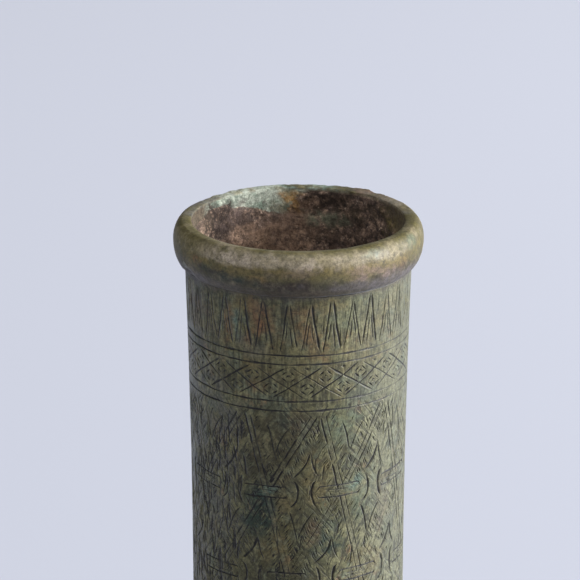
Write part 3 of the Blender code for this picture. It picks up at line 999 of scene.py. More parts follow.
@dataclass
class TurnedShells:
    """The parts of the casting that are turned from a profile: lip, bore, belly and foot."""

    shape: PotShape
    lip_row: float = 0.5 * MM
    crust_row: float = 0.75 * MM
    crust_reach: float = 26.0 * MM
    bore_row: float = 6.0 * MM
    belly_row: float = 4.0 * MM
    hollow_row: float = 9.5 * MM
    foot_row: float = 3.5 * MM

    def lip_profile(self) -> list[Place]:
        """Profile from under the lip, over its crest, to the edge of the mouth.

        Returns:
            Radii and heights.
        """
        shape = self.shape
        under = (shape.neck_top_radius, shape.crest - shape.lip_height)
        widest = (shape.neck_top_radius + shape.lip_overhang, shape.crest - shape.widest_depth)
        top = (widest[0] - shape.crest_inside_widest, shape.crest)
        edge = (shape.neck_top_radius - shape.wall + shape.mouth_flare, shape.crest - shape.mouth_edge_drop)
        points = [under]
        points += curve_points(under, widest, self.lip_row, leaves_upright=False)
        points += curve_points(widest, top, self.lip_row, leaves_upright=True)
        points += curve_points(top, edge, self.lip_row, leaves_upright=False)
        return points

    def bore_profile(self) -> list[Place]:
        """Profile from the mouth's edge down the bore and round the hollow belly.

        Returns:
            Radii and heights.
        """
        shape = self.shape
        points = [self.lip_profile()[-1]]
        depth, row = shape.mouth_edge_drop, self.crust_row
        while depth + row * 1.5 < shape.neck_bottom:
            depth += row
            if depth > self.crust_reach:
                row = min(self.bore_row, row * 1.2)
            flare = shape.mouth_flare * (1.0 - smooth_step(depth, 0.0, shape.lip_height))
            bore = shape.neck_radius(max(depth, shape.lip_height)) - shape.wall
            points.append((bore + flare, shape.crest - depth))
        points.append((shape.neck_foot_radius - shape.wall, shape.crest - shape.neck_bottom))
        shoulder = shape.neck_foot_radius + shape.shoulder_fillet - shape.wall
        inner = self.belly_points(shape.wall, 0.0, shoulder, self.hollow_row)
        inner.reverse()
        points += hollow_curve(points[-1], (points[-1][0], inner[0][1]), inner[0], self.belly_row)[1:-1]
        points += inner[:-1]
        points.append((0.0, inner[-1][1]))
        return points

    def belly_points(self, inset: float, low_radius: float, high_radius: float, row: float) -> list[Place]:
        """Points round the belly from below its widest line to above it.

        Args:
            inset: How far inside the outer surface they lie.
            low_radius: Radius of the lowest point.
            high_radius: Radius of the highest point.
            row: About how far apart the points are.

        Returns:
            The points.
        """
        wide, tall = self.shape.belly_radius - inset, self.shape.belly_half_height - inset
        first, last = -math.acos(low_radius / wide), math.acos(high_radius / wide)
        steps = math.ceil((last - first) * (wide + tall) / 2.0 / row)
        turns = [first + (last - first) * step / steps for step in range(steps + 1)]
        return [(wide * math.cos(turn), self.shape.belly_middle + tall * math.sin(turn)) for turn in turns]

    def outer_profile(self) -> list[Place]:
        """Profile from the middle of the underside, over the foot ring and the belly, to the neck.

        Returns:
            Radii and heights.
        """
        shape = self.shape
        inner_top = shape.foot_top_radius - shape.foot_wall
        steps = math.ceil(inner_top / self.hollow_row)
        points = []
        for step in range(steps + 1):
            radius = inner_top * step / steps
            sink = math.sqrt(1.0 - (radius / shape.belly_radius) ** 2)
            points.append((radius, shape.belly_middle - shape.belly_half_height * sink))
        heel = (shape.foot_radius - shape.foot_wall, 0.0)
        points += self.straight(points[-1], heel, self.foot_row)
        points += self.straight(heel, (shape.foot_radius, 0.0), self.foot_row)
        band_top = (shape.foot_radius, shape.foot_band_height)
        points += self.straight((shape.foot_radius, 0.0), band_top, self.foot_row)
        splay = (shape.foot_radius - shape.foot_band_step, shape.foot_band_height)
        waist = (shape.foot_top_radius, shape.foot_band_height)
        points += hollow_curve(splay, waist, (shape.foot_top_radius, shape.foot_height), self.foot_row)
        shoulder = shape.neck_foot_radius + shape.shoulder_fillet
        points += self.belly_points(0.0, shape.foot_top_radius, shoulder, self.belly_row)[1:]
        corner = (shape.neck_foot_radius, shape.crest - shape.neck_length)
        neck_end = (shape.neck_foot_radius, shape.crest - shape.neck_bottom)
        points += hollow_curve(points[-1], corner, neck_end, self.foot_row)[1:]
        return points

    @staticmethod
    def straight(start: Place, end: Place, row: float) -> list[Place]:
        """Points along a straight stretch of a profile, without its first point."""
        steps = math.ceil(math.dist(start, end) / row)
        return [tuple(start[axis] + (end[axis] - start[axis]) * step / steps for axis in (0, 1))
                for step in range(1, steps + 1)]

    def build(self) -> list[bpy.types.Object]:
        """Turns the three shells.

        Returns:
            The lip, the bore with the hollow belly, and the outside with the foot.
        """
        return [
            spin_profile("lip", self.lip_profile()),
            spin_profile("bore", self.bore_profile()),
            spin_profile("outside", self.outer_profile()),
        ]


@dataclass(frozen=True)
class Dent:
    """A soft dent or lump on the lip: degrees from the front, then depth, radius and push in millimetres."""

    degrees: float
    depth: float
    radius: float
    push: float


class Stain(Enum):
    """Colours of the stains that the ground has left on the bronze.

    The beige is also partly a painted highlight, and the lavender is a painted reflection of the floor.
    """

    RUST = (0.175, 0.084, 0.036)
    ORANGE = (0.540, 0.310, 0.105)
    ROSE = (0.215, 0.150, 0.115)
    OCHRE = (0.165, 0.128, 0.048)
    UMBER = (0.062, 0.045, 0.028)
    PLUM = (0.085, 0.058, 0.052)
    TURQUOISE = (0.105, 0.185, 0.155)
    MOSS = (0.016, 0.033, 0.022)
    PALE_GREEN = (0.105, 0.150, 0.098)
    # Partly pale wear and partly a painted highlight on the lip.
    BEIGE_WEAR_AND_HIGHLIGHT = (0.380, 0.320, 0.245)
    # Not a stain: a painted reflection of the pale floor, for the lip's underside.
    LAVENDER_FLOOR_REFLECTION = (0.100, 0.088, 0.086)
    OLIVE = (0.098, 0.084, 0.030)
    DEEP_OLIVE = (0.050, 0.046, 0.018)
    PALE_GREY = (0.125, 0.128, 0.118)
    BARK = (0.030, 0.018, 0.013)
    MAUVE = (0.115, 0.082, 0.074)
    CLAY = (0.480, 0.310, 0.205)
    SAGE = (0.230, 0.240, 0.165)
    WHITE_GREEN = (0.400, 0.430, 0.360)


@dataclass(frozen=True)
class Patch:
    """One stain: degrees from the front, then its middle's depth and its reaches in millimetres."""

    degrees: float
    depth: float
    wide: float
    tall: float
    stain: Stain
    strength: float = 0.7
    ragged: float = 1.0

    def middle(self, shape: PotShape, inside: bool = False) -> tuple[float, float, float]:
        """Its middle on the outer surface, or on the mouth's inner wall.

        Args:
            shape: The pot's sizes.
            inside: Whether it lies inside the mouth.

        Returns:
            The middle.
        """
        depth = self.depth * MM
        radius = shape.neck_top_radius - shape.wall if inside else shape.outer_radius(depth)
        turn = math.radians(self.degrees)
        return radius * math.sin(turn), -radius * math.cos(turn), shape.crest - depth


@dataclass
class Stains:
    """All the stains of the neck, the lip and the mouth, painted on the mesh's points.

    Some of them stand partly for painted shade, a painted highlight and a painted reflection, as noted beside
    them.
    """

    shape: PotShape
    neck: tuple[Patch, ...] = (
        Patch(-33.9, 21.5, 1.6, 3.4, Stain.TURQUOISE, 0.75),
        Patch(-18.9, 16.6, 1.6, 1.6, Stain.TURQUOISE, 0.5), Patch(-16.5, 20, 3, 4.5, Stain.RUST, 0.75),
        Patch(-37.5, 21.5, 1.2, 4.5, Stain.RUST, 0.7), Patch(0.9, 16.8, 4.5, 1.6, Stain.RUST, 0.55),
        Patch(4, 22.5, 2.6, 2.6, Stain.RUST, 0.5), Patch(-29, 15.5, 3, 1.4, Stain.OCHRE, 0.6),
        Patch(-24.5, 27, 3.2, 2.6, Stain.PALE_GREY, 0.5), Patch(-27, 32.8, 3.6, 1.6, Stain.OCHRE, 0.6),
        Patch(-22.2, 38.4, 2.2, 1.4, Stain.RUST, 0.55), Patch(-65, 22, 6, 7, Stain.PLUM, 0.4),
        Patch(-43, 55.8, 3, 3.6, Stain.RUST, 0.5), Patch(-49, 52, 1.4, 3.6, Stain.OCHRE, 0.7),
        Patch(-15.7, 48.6, 5, 2.6, Stain.UMBER, 0.55), Patch(-2.2, 49, 3.2, 3.6, Stain.RUST, 0.4),
        # The umber patch at -19 degrees and the broad deep olive patches at -8 and -14 degrees are partly
        # stains and partly painted shade over the front left of the neck, where the key light falls off.
        Patch(-19, 58, 9, 8, Stain.UMBER, 0.85), Patch(-8, 66, 18, 24, Stain.DEEP_OLIVE, 0.75),
        Patch(-14, 92, 15, 11, Stain.DEEP_OLIVE, 0.65), Patch(-11.5, 83, 4.2, 4.2, Stain.OCHRE, 0.6),
        Patch(-6.8, 72.3, 3, 5, Stain.OCHRE, 0.5), Patch(24.8, 49.6, 4.6, 3.6, Stain.PALE_GREEN, 0.4),
        Patch(17, 82.5, 4.4, 5, Stain.MOSS, 0.75), Patch(32, 67.5, 2.8, 2.4, Stain.TURQUOISE, 0.45),
        Patch(35.5, 74, 2.2, 4, Stain.PALE_GREEN, 0.3), Patch(51, 74.5, 4, 6, Stain.PLUM, 0.25),
        Patch(8.5, 80, 1.6, 2.6, Stain.RUST, 0.3), Patch(7.5, 24, 2.2, 5, Stain.RUST, 0.35),
        Patch(24.8, 18.5, 4.2, 4, Stain.PALE_GREEN, 0.5), Patch(16.6, 15.4, 2.6, 1.8, Stain.OCHRE, 0.5),
        Patch(8, 64, 4, 6, Stain.OCHRE, 0.45), Patch(38.7, 90.6, 5, 5, Stain.OCHRE, 0.35),
        Patch(-62, 62, 12, 30, Stain.PALE_GREY, 0.38), Patch(-70, 92, 8, 12, Stain.UMBER, 0.25),
        Patch(110, 40, 9, 14, Stain.TURQUOISE, 0.45), Patch(160, 78, 12, 16, Stain.MOSS, 0.5),
        Patch(-140, 60, 10, 18, Stain.RUST, 0.35), Patch(-110, 120, 9, 14, Stain.TURQUOISE, 0.4),
        Patch(0, 128, 12, 10, Stain.UMBER, 0.4), Patch(-3, 25, 24, 11, Stain.OCHRE, 0.3),
        Patch(-20, 20.5, 3, 4.5, Stain.RUST, 0.6), Patch(-20, 74.5, 4.4, 6.6, Stain.MOSS, 0.85, 0.5),
        Patch(-18, 72, 2.8, 4, Stain.MOSS, 0.6, 0.4), Patch(-25, 68.5, 4, 2.4, Stain.MOSS, 0.4),
        Patch(-14.5, 67.6, 2.4, 1.3, Stain.TURQUOISE, 0.5),
    )
    lip: tuple[Patch, ...] = (
        # The beige patches on the lip's upper front are partly wear and partly a painted highlight.
        Patch(-34, 2.2, 13, 2, Stain.BEIGE_WEAR_AND_HIGHLIGHT, 1), Patch(-58, 1.8, 8, 3, Stain.OLIVE, 0.7),
        Patch(-6, 2.8, 9, 1.5, Stain.BEIGE_WEAR_AND_HIGHLIGHT, 0.52), Patch(24, 3.2, 6, 1.3, Stain.BEIGE_WEAR_AND_HIGHLIGHT, 0.3),
        Patch(6, 0.1, 20, 0.6, Stain.OLIVE, 0.6), Patch(-72, 2, 9, 4, Stain.OLIVE, 0.8),
        Patch(-62, 7, 7, 1.8, Stain.DEEP_OLIVE, 0.8),
        Patch(-67.5, 9.9, 1.2, 0.7, Stain.WHITE_GREEN, 0.8, 0.1),
        Patch(-64.5, 9, 1.2, 0.7, Stain.WHITE_GREEN, 0.9, 0.1),
        Patch(-61, 9.6, 1.2, 0.7, Stain.WHITE_GREEN, 0.8, 0.1),
        Patch(-64, 10.4, 1.7, 0.8, Stain.BARK, 1, 0.1), Patch(-60.5, 10.7, 1.2, 0.7, Stain.BARK, 0.9, 0.1),
        Patch(-38, 7.5, 8.5, 2.3, Stain.DEEP_OLIVE, 1), Patch(-16, 8.3, 8.5, 2.2, Stain.DEEP_OLIVE, 1),
        Patch(12, 8, 8, 1.6, Stain.DEEP_OLIVE, 0.8), Patch(-50, 6.2, 7, 2, Stain.OLIVE, 0.8),
        Patch(-8, 6.5, 19, 1.6, Stain.OLIVE, 0.6, 0.6), Patch(4, 8.8, 16, 1.4, Stain.DEEP_OLIVE, 0.4, 0.6),
        Patch(-40, 7.2, 6, 0.9, Stain.BARK, 0.8), Patch(-27, 8.3, 5, 0.9, Stain.BARK, 0.85),
        Patch(-13, 8.7, 5, 0.9, Stain.BARK, 0.8), Patch(30, 7.2, 5, 1.2, Stain.OCHRE, 0.8),
        Patch(70, 4, 9, 3.6, Stain.OLIVE, 0.65), Patch(68, 2.4, 7.5, 4, Stain.DEEP_OLIVE, 0.3, 0.6),
        Patch(84, 3.6, 13.5, 5.4, Stain.OLIVE, 1), Patch(60, 0.8, 10, 1.2, Stain.OLIVE, 0.7),
        Patch(-20, 7.4, 2.6, 1, Stain.ORANGE, 0.28), Patch(-52, 5.4, 2.2, 1, Stain.RUST, 0.7),
        Patch(0, 9, 6.5, 1.5, Stain.BARK, 0.85), Patch(-30, 8, 6.5, 1.3, Stain.MOSS, 0.7),
        Patch(-47, 6.4, 3, 1.2, Stain.MOSS, 0.6), Patch(0, 11.4, 12, 1.2, Stain.UMBER, 0.75),
        # These two patches on the lip's underside are a painted reflection of the floor.
        Patch(-60, 11, 12, 1.6, Stain.LAVENDER_FLOOR_REFLECTION, 0.8), Patch(45, 10, 13, 2.2, Stain.LAVENDER_FLOOR_REFLECTION, 0.9),
        Patch(31, 6, 4.6, 1.5, Stain.ROSE, 0.6), Patch(43, 7.2, 4, 1.5, Stain.ROSE, 0.5),
        Patch(-5, 5.4, 5, 1.2, Stain.ROSE, 0.35), Patch(56, 6.4, 2.6, 2.4, Stain.RUST, 0.25),
        Patch(66, 2, 3, 1.4, Stain.TURQUOISE, 0.25), Patch(35, 2.2, 1.8, 0.9, Stain.TURQUOISE, 0.4),
        Patch(200, 0.4, 17, 2.6, Stain.TURQUOISE, 0.9), Patch(170, 0.4, 10, 2.4, Stain.TURQUOISE, 0.9),
        Patch(172, 0.2, 7, 1, Stain.WHITE_GREEN, 0.5), Patch(180, 0.2, 4, 1.4, Stain.PALE_GREY, 0.8),
        Patch(134, 0.6, 9, 3, Stain.MAUVE, 0.6), Patch(120, 0.6, 7, 2.6, Stain.BEIGE_WEAR_AND_HIGHLIGHT, 0.5),
        Patch(128, 1.4, 3, 1.6, Stain.UMBER, 0.8), Patch(143, 0.2, 3, 1.4, Stain.CLAY, 0.5),
        Patch(232, 0.6, 12, 2.4, Stain.PALE_GREY, 0.9), Patch(213, 0.4, 9, 1.8, Stain.WHITE_GREEN, 0.95),
        Patch(195, 0.2, 5, 1.2, Stain.WHITE_GREEN, 0.6), Patch(181, 0.6, 2.2, 1.2, Stain.WHITE_GREEN, 0.9),
        Patch(238, 1.4, 9, 2, Stain.UMBER, 0.5), Patch(150, 1, 8, 3, Stain.UMBER, 0.6),
        Patch(118, 3, 12, 3.4, Stain.PALE_GREY, 0.4),
    )
    mouth: tuple[Patch, ...] = (
        Patch(211, 2, 9, 2, Stain.WHITE_GREEN, 1), Patch(200, 1.6, 5, 1.2, Stain.WHITE_GREEN, 0.8),
        Patch(181.8, 3.8, 3, 3, Stain.ORANGE, 1), Patch(167, 3.6, 7, 2.8, Stain.BARK, 1),
        Patch(148, 7, 6, 3, Stain.UMBER, 0.6), Patch(131, 4.5, 6, 4, Stain.UMBER, 0.7),
        Patch(226, 7, 7, 4.4, Stain.MAUVE, 0.75), Patch(192, 9, 7, 2.6, Stain.MAUVE, 0.6),
        Patch(193, 14.5, 12, 7, Stain.CLAY, 0.5), Patch(216, 13, 7, 5, Stain.CLAY, 0.35),
        Patch(232, 7.6, 6, 7, Stain.BARK, 1), Patch(251, 6, 4.5, 6, Stain.UMBER, 0.55),
        Patch(206, 7.4, 8, 1.8, Stain.PLUM, 0.7), Patch(160, 8.8, 6, 2, Stain.SAGE, 0.9),
        # The bark patches at 142 and 118 degrees, deep on the right of the mouth, are partly dark earth and
        # partly painted shade.
        Patch(142, 15, 12, 7, Stain.BARK, 0.75), Patch(118, 13, 12, 8, Stain.BARK, 0.7),
        Patch(101, 4.6, 9, 5, Stain.OCHRE, 0.75, 0.6), Patch(192, 5.4, 3.4, 1.6, Stain.SAGE, 0.6),
    )
    ragged: float = 4.0 * MM
    fraying: float = 1.1
    fade: Place = (0.6, 1.5)

    def paint(self, places: np.ndarray, depth: np.ndarray, inside: np.ndarray) -> np.ndarray:
        """Lays every stain over the points near it.

        Args:
            places: The points.
            depth: Their depths below the crest.
            inside: 1 for points inside the mouth.

        Returns:
            Red, green and blue, each times the stain's share, and the share itself.
        """
        paint = np.zeros((len(places), 4))
        edge = self.fraying * swell(places, self.ragged, 3, 6.9)
        on_lip = depth < self.shape.lip_height
        zones = (
            (self.neck, (inside < 0.5) & ~on_lip, False),
            (self.lip, (inside < 0.5) & on_lip, False),
            (self.mouth, inside > 0.5, True),
        )
        for patches, zone, within in zones:
            for patch in patches:
                reach = np.array((patch.wide, patch.wide, patch.tall)) * MM
                away = np.linalg.norm((places - patch.middle(self.shape, within)) / reach, axis=1)
                away += patch.ragged * edge
                share = zone * patch.strength * (1.0 - smooth_step(away, *self.fade))
                paint *= (1.0 - share)[:, None]
                paint += share[:, None] * np.array((*patch.stain.value, 1.0))
        return paint


@dataclass
class Wear:
    """The uneven casting, the lip's dents and lumps, and the earth crust in the mouth.

    The crust's line gives, by degrees from the front, how far down the mouth it begins, in millimetres.
    """

    shape: PotShape
    cast_swell: float = 0.055 * MM
    cast_swell_size: float = 16.0 * MM
    cast_grain: float = 0.022 * MM
    cast_grain_size: float = 3.5 * MM
    lump_grain: float = 0.9
    crust_thickness: float = 1.0 * MM
    crust_ragged: float = 1.1 * MM
    crust_edge: float = 1.4 * MM
    crumbling: float = 0.35 * MM
    crumbled_middle: float = 182.0
    crumbled_reach: Place = (45.0, 66.0)
    crumbled_depth: Place = (1.5 * MM, 4.0 * MM)
    verdigris_middle: float = 209.0
    verdigris_reach: Place = (26.0, 37.0)
    low_verdigris: float = 0.6
    low_verdigris_depth: Place = (30.0 * MM, 60.0 * MM)
    fillet: float = 0.42 * MM
    fillet_reach: float = 2.2 * MM
    standing_zone: Place = (0.2 * MM, 3.0 * MM)
    crust_line: tuple[Place, ...] = (
        (0, 3), (60, 2.4), (84, 5), (106, 8), (118, 4.5), (128, 0.8), (137, -1.2),
        (154, -1), (162, 0.6), (178, 1.5), (181, 2.4), (184, 5), (188, 7.2), (203, 5.4),
        (212, 4.2), (225, 2.4), (240, 2.4), (250, 4.4), (268, 6), (300, 4), (360, 3),
    )
    dents: tuple[Dent, ...] = (
        Dent(-128, 3.5, 9, -0.45), Dent(-100, 4.5, 7, -0.25),
        Dent(146, 1.6, 3, 0.7), Dent(157, 2.6, 2.6, 0.75),
        Dent(132, 2.4, 2.6, 0.45), Dent(118, 3.2, 3.4, 0.3),
        Dent(-66, 10.9, 1.4, -0.7), Dent(-62.5, 10.9, 1.4, -0.7),
        Dent(-66.6, 9.4, 1, 0.35), Dent(-62.6, 9.2, 1, 0.35),
        Dent(-79, 12.6, 2.4, 0.2), Dent(24, 2, 5, -0.12),
        Dent(-35, 7, 6, -0.12), Dent(62, 6, 5, -0.14),
    )

    def inside(self, radius: np.ndarray, depth: np.ndarray) -> np.ndarray:
        """Tells the bore and the hollow belly from the outside.

        Args:
            radius: The points' distances from the axis.
            depth: Their depths below the crest.

        Returns:
            1 for points of the inside, and 0 for points of the outside.
        """
        shape = self.shape
        neck = radius < shape.neck_radius(np.maximum(depth, shape.lip_height)) - shape.wall / 2.0
        neck &= depth > shape.mouth_edge_drop + 0.1 * MM
        height = shape.crest - depth
        wide, tall = shape.belly_radius - shape.wall / 2.0, shape.belly_half_height - shape.wall / 2.0
        belly = (radius / wide) ** 2 + ((height - shape.belly_middle) / tall) ** 2 < 1.0
        return np.where(depth < shape.neck_bottom, neck, belly).astype(float)

    def apply(self, pot: bpy.types.Object) -> None:
        """Moves the mesh's points and writes the crust's height and the inside as attributes.

        Args:
            pot: The joined pot.
        """
        mesh = pot.data
        shape = self.shape
        count = len(mesh.vertices)
        places = np.array([vert.co for vert in mesh.vertices])
        normals = np.array([normal.vector for normal in mesh.vertex_normals])
        radius = np.hypot(places[:, 0], places[:, 1])
        depth = shape.crest - places[:, 2]
        turn = np.degrees(np.arctan2(places[:, 0], -places[:, 1]))
        inside = self.inside(radius, depth)
        on_neck = (depth > shape.lip_height + 0.05 * MM) & (depth < shape.neck_bottom - 0.05 * MM)
        outward = np.column_stack((places[:, :2] / np.maximum(radius, 1e-9)[:, None], np.zeros(count)))
        engraved = on_neck & (inside < 0.5)
        ways = np.where(engraved[:, None], outward, normals)

        move = swell(places, self.cast_swell_size, 2, 3.1) * self.cast_swell
        move += swell(places, self.cast_grain_size, 2, 8.7) * self.cast_grain
        move += self.dent_moves(places, depth, turn, inside)
        away = np.hypot(radius - shape.neck_top_radius, depth - shape.lip_height)
        move += self.fillet * np.clip(1.0 - away / self.fillet_reach, 0.0, 1.0) ** 2 * (1.0 - inside)
        crust = self.crust(places, depth, turn) * inside
        move += crust * self.crust_thickness
        grounded = smooth_step(places[:, 2], *self.standing_zone)
        places += ways * (move * grounded)[:, None]
        places = self.kept_in_size(places)
        mesh.vertices.foreach_set("co", places.astype(np.float32).ravel())
        mesh.update()
        paint = Stains(shape).paint(places, depth, inside).astype(np.float32).ravel()
        mesh.attributes.new("stain", "FLOAT_COLOR", "POINT").data.foreach_set("color", paint)
        write_values(mesh, "inside", inside)
        write_values(mesh, "crust", crust)
        write_values(mesh, "verdigris", self.verdigris(turn, depth))
        lean = np.empty(count, np.float32)
        mesh.attributes["lean"].data.foreach_get("value", lean)
        mesh.attributes["lean"].data.foreach_set("value", np.where(engraved, lean, 0.5))

    def dent_moves(self, places: np.ndarray, depth: np.ndarray, turn: np.ndarray,
                   inside: np.ndarray) -> np.ndarray:
        """How far the dents and lumps move each point outwards.

        Args:
            places: The points.
            depth: Their depths below the crest.
            turn: Their angles from the front in degrees.
            inside: 1 for points inside the mouth.

        Returns:
            The moves.
        """
        move = np.zeros(len(places))
        widest = self.shape.neck_top_radius + self.shape.lip_overhang
        for dent in self.dents:
            around = (turn - dent.degrees + 180.0) % 360.0 - 180.0
            away = np.hypot(np.radians(around) * widest, depth - dent.depth * MM)
            rough = np.ones(len(places))
            if dent.push > 0.0:
                near = away < dent.radius * MM * 2.5
                rough[near] += self.lump_grain * swell(places[near], 1.6 * MM, 2, 5.5)
            move += dent.push * MM * np.exp(-((away / (dent.radius * MM)) ** 2)) * rough
        back = 1.0 - smooth_step(np.abs(turn % 360.0 - self.crumbled_middle), *self.crumbled_reach)
        back = back * (1.0 - smooth_step(depth, *self.crumbled_depth)) * (inside < 0.5)
        near = back > 0.0
        crumbs = np.zeros(len(places))
        crumbs[near] = swell(places[near], 2.2 * MM, 3, 7.7)
        return (move + back * self.crumbling * crumbs) * (1.0 - inside)

    def crust(self, places: np.ndarray, depth: np.ndarray, turn: np.ndarray) -> np.ndarray:
        """Thickness of the earth crust at each point of the inside.

        Args:
            places: The points.
            depth: Their depths below the crest.
            turn: Their angles from the front in degrees.

        Returns:
            The thickness, from 0 to about 1.
        """
        angles, starts = np.array(self.crust_line).T
        start = np.interp(turn % 360.0, angles, starts) * MM
        start += self.crust_ragged * swell(places, 4.0 * MM, 4, 1.9)
        grown = smooth_step(depth - start, 0.0, self.crust_edge)
        lumps = 0.5 + 0.5 * swell(places, 3.2 * MM, 3, 12.4)
        fine = 0.5 + 0.5 * swell(places, 1.3 * MM, 2, 20.3)
        return np.clip(grown * (0.15 + 0.6 * lumps + 0.35 * fine), 0.0, 1.3)

    def verdigris(self, turn: np.ndarray, depth: np.ndarray) -> np.ndarray:
        """Tells where the mouth's bare wall is green and where it is brown.

        Args:
            turn: The points' angles from the front in degrees.
            depth: Their depths below the crest.

        Returns:
            1 on the back left of the mouth, less low in the neck, and 0 elsewhere.
        """
        away = np.abs((turn - self.verdigris_middle + 180.0) % 360.0 - 180.0)
        low = smooth_step(depth, *self.low_verdigris_depth)
        return np.maximum(1.0 - smooth_step(away, *self.verdigris_reach), self.low_verdigris * low)

    def kept_in_size(self, places: np.ndarray) -> np.ndarray:
        """Keeps every point within the casting's own height and width.

        Args:
            places: The points.

        Returns:
            The points, moved where they lay outside.
        """
        low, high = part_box("pitch_pot")
        room = 0.01 * MM
        places[:, 2] = np.clip(places[:, 2], low.z, high.z - room)
        radius = np.hypot(places[:, 0], places[:, 1])
        shrink = np.minimum(1.0, (high.x - room) / np.maximum(radius, 1e-9))
        places[:, :2] *= shrink[:, None]
        return places


@dataclass(frozen=True)
class Cloud:
    """Cloudy noise, its size in millimetres, and its fading: low and high become to_low and to_high."""

    size: float
    detail: float
    roughness: float
    offset: float
    low: float
    high: float
    to_low: float = 0.0
    to_high: float = 1.0


class Bench:
    """A short hand for wiring the nodes of one material."""

    def __init__(self, name: str) -> None:
        """Starts a material with one principled shader.

        Args:
            name: The material's name.
        """
        self.material = bpy.data.materials.new(name)
        self.material.use_nodes = True
        self.tree = self.material.node_tree
        self.shader = self.tree.nodes["Principled BSDF"]
        self.where = self.tree.nodes.new("ShaderNodeTexCoord").outputs["Object"]

    def feed(self, node: bpy.types.Node, inputs: Inputs) -> None:
        """Links a node's sockets, or sets their values.

        Args:
            node: The node.
            inputs: What its sockets get, by their names or places.
        """
        for key, value in inputs.items():
            socket = node.inputs[key]
            if isinstance(value, Socket):
                self.tree.links.new(value, socket)
            elif isinstance(value, tuple) and socket.type == "RGBA":
                socket.default_value = (*value, 1.0)
            else:
                socket.default_value = value

    def node(self, kind: str, inputs: Inputs, **options: str) -> bpy.types.Node:
        """Adds a node.

        Args:
            kind: Its kind.
            inputs: What its sockets get, by their names or places.
            **options: Its other settings.

        Returns:
            The node.
        """
        node = self.tree.nodes.new("ShaderNode" + kind)
        for name, setting in options.items():
            setattr(node, name, setting)
        self.feed(node, inputs)
        return node

    def noise(self, size: float, detail: float, roughness: float, offset: float, squash: float = 1.0,
              twist: float = 0.0) -> Socket:
        """Cloudy noise, from 0 to 1.

        Args:
            size: Size of its largest clouds in metres.
            detail: How many finer layers it has.
            roughness: How strong the finer layers are.
            offset: Moves the pattern.
            squash: Less than 1 draws it out into upright streaks.
            twist: Makes the streaks lean, in radians per metre of height.

        Returns:
            The noise's value.
        """
        where = self.where
        if twist:
            angle = self.times(self.along("Z"), twist)
            inputs = {"Vector": where, "Angle": angle}
            where = self.node("VectorRotate", inputs, rotation_type="Z_AXIS").outputs["Vector"]
        shift = (offset, offset * 0.6, offset * 1.4)
        inputs = {"Vector": where, "Location": shift, "Scale": (1.0, 1.0, squash)}
        inputs = {"Vector": self.node("Mapping", inputs).outputs["Vector"], "Scale": 1.0 / size,
                  "Detail": detail, "Roughness": roughness}
        return self.node("TexNoise", inputs).outputs["Fac"]

    def cloud(self, cloud: Cloud) -> Socket:
        """The value of a cloud at each point."""
        clouds = self.noise(cloud.size * MM, cloud.detail, cloud.roughness, cloud.offset)
        return self.ease(clouds, cloud.low, cloud.high, cloud.to_low, cloud.to_high)

    def swing(self, size: float, detail: float, roughness: float, offset: float, reach: float) -> Socket:
        """Cloudy noise that swings to half its reach on either side of 0."""
        return self.times(self.math("SUBTRACT", self.noise(size, detail, roughness, offset), 0.5), reach)

    def attribute(self, name: str) -> Socket:
        """A value that the mesh carries at each point."""
        return self.node("Attribute", {}, attribute_name=name).outputs["Fac"]

    def ease(self, value: Socket, low: float, high: float, to_low: float = 0.0,
             to_high: float = 1.0) -> Socket:
        """Maps low to to_low and high to to_high, softly and no further."""
        inputs = {"Value": value, "From Min": low, "From Max": high, "To Min": to_low, "To Max": to_high}
        return self.node("MapRange", inputs, interpolation_type="SMOOTHSTEP").outputs["Result"]

    def by_depth(self, crest: float, zone: Place, above: float, below: float) -> Socket:
        """Goes softly from one number above a zone of depths below the crest to another below it."""
        start, end = zone
        return self.ease(self.along("Z"), crest - end, crest - start, below, above)

    def math(self, operation: str, first: Value, second: Value) -> Socket:
        """One sum of two values."""
        return self.node("Math", {0: first, 1: second}, operation=operation).outputs["Value"]

    def times(self, *factors: Value) -> Socket:
        """The product of several values.

        Args:
            *factors: The values.

        Returns:
            Their product.
        """
        result = factors[0]
        for factor in factors[1:]:
            result = self.math("MULTIPLY", result, factor)
        return result

    def mix(self, share: Value, below: Paint, above: Paint, blend: str = "MIX") -> Socket:
        """Lays one colour over another by a share from 0 to 1."""
        inputs = {"Factor": share, 6: below, 7: above}
        return self.node("Mix", inputs, data_type="RGBA", blend_type=blend).outputs[2]

    def layers(self, colour: Colour, *layers: tuple[Cloud, Colour]) -> Socket:
        """Lays colours over a first one, each where its own cloud is.

        Args:
            colour: The first colour.
            *layers: The clouds and their colours.

        Returns:
            The colour at each point.
        """
        for cloud, layer in layers:
            colour = self.mix(self.cloud(cloud), colour, layer)
        return colour

    def grey(self, value: Socket) -> Socket:
        """A grey of this brightness, which may pass 1."""
        return self.node("CombineColor", {0: value, 1: value, 2: value}).outputs["Color"]

    def shaded(self, colour: Socket, brightness: Socket) -> Socket:
        """A colour times a brightness."""
        return self.mix(1.0, colour, self.grey(brightness), "MULTIPLY")

    def blend(self, share: Socket, below: Value, above: Value) -> Socket:
        """Goes from one value to another by a share from 0 to 1."""
        return self.node("Mix", {"Factor": share, 2: below, 3: above}, data_type="FLOAT").outputs[0]

    def along(self, axis: str) -> Socket:
        """One of the three object coordinates of each point, in metres."""
        return self.node("SeparateXYZ", {"Vector": self.where}).outputs[axis]

    def bump(self, height: Socket, relief: Place, below: Optional[Socket] = None) -> Socket:
        """Turns a height pattern into a bumpy normal.

        Args:
            height: The pattern.
            relief: How strong the bumps are, and how high.
            below: A normal that the bumps are added to.

        Returns:
            The normal.
        """
        strength, distance = relief
        inputs = {"Height": height, "Strength": strength, "Distance": distance}
        if below is not None:
            inputs["Normal"] = below
        return self.node("Bump", inputs).outputs["Normal"]


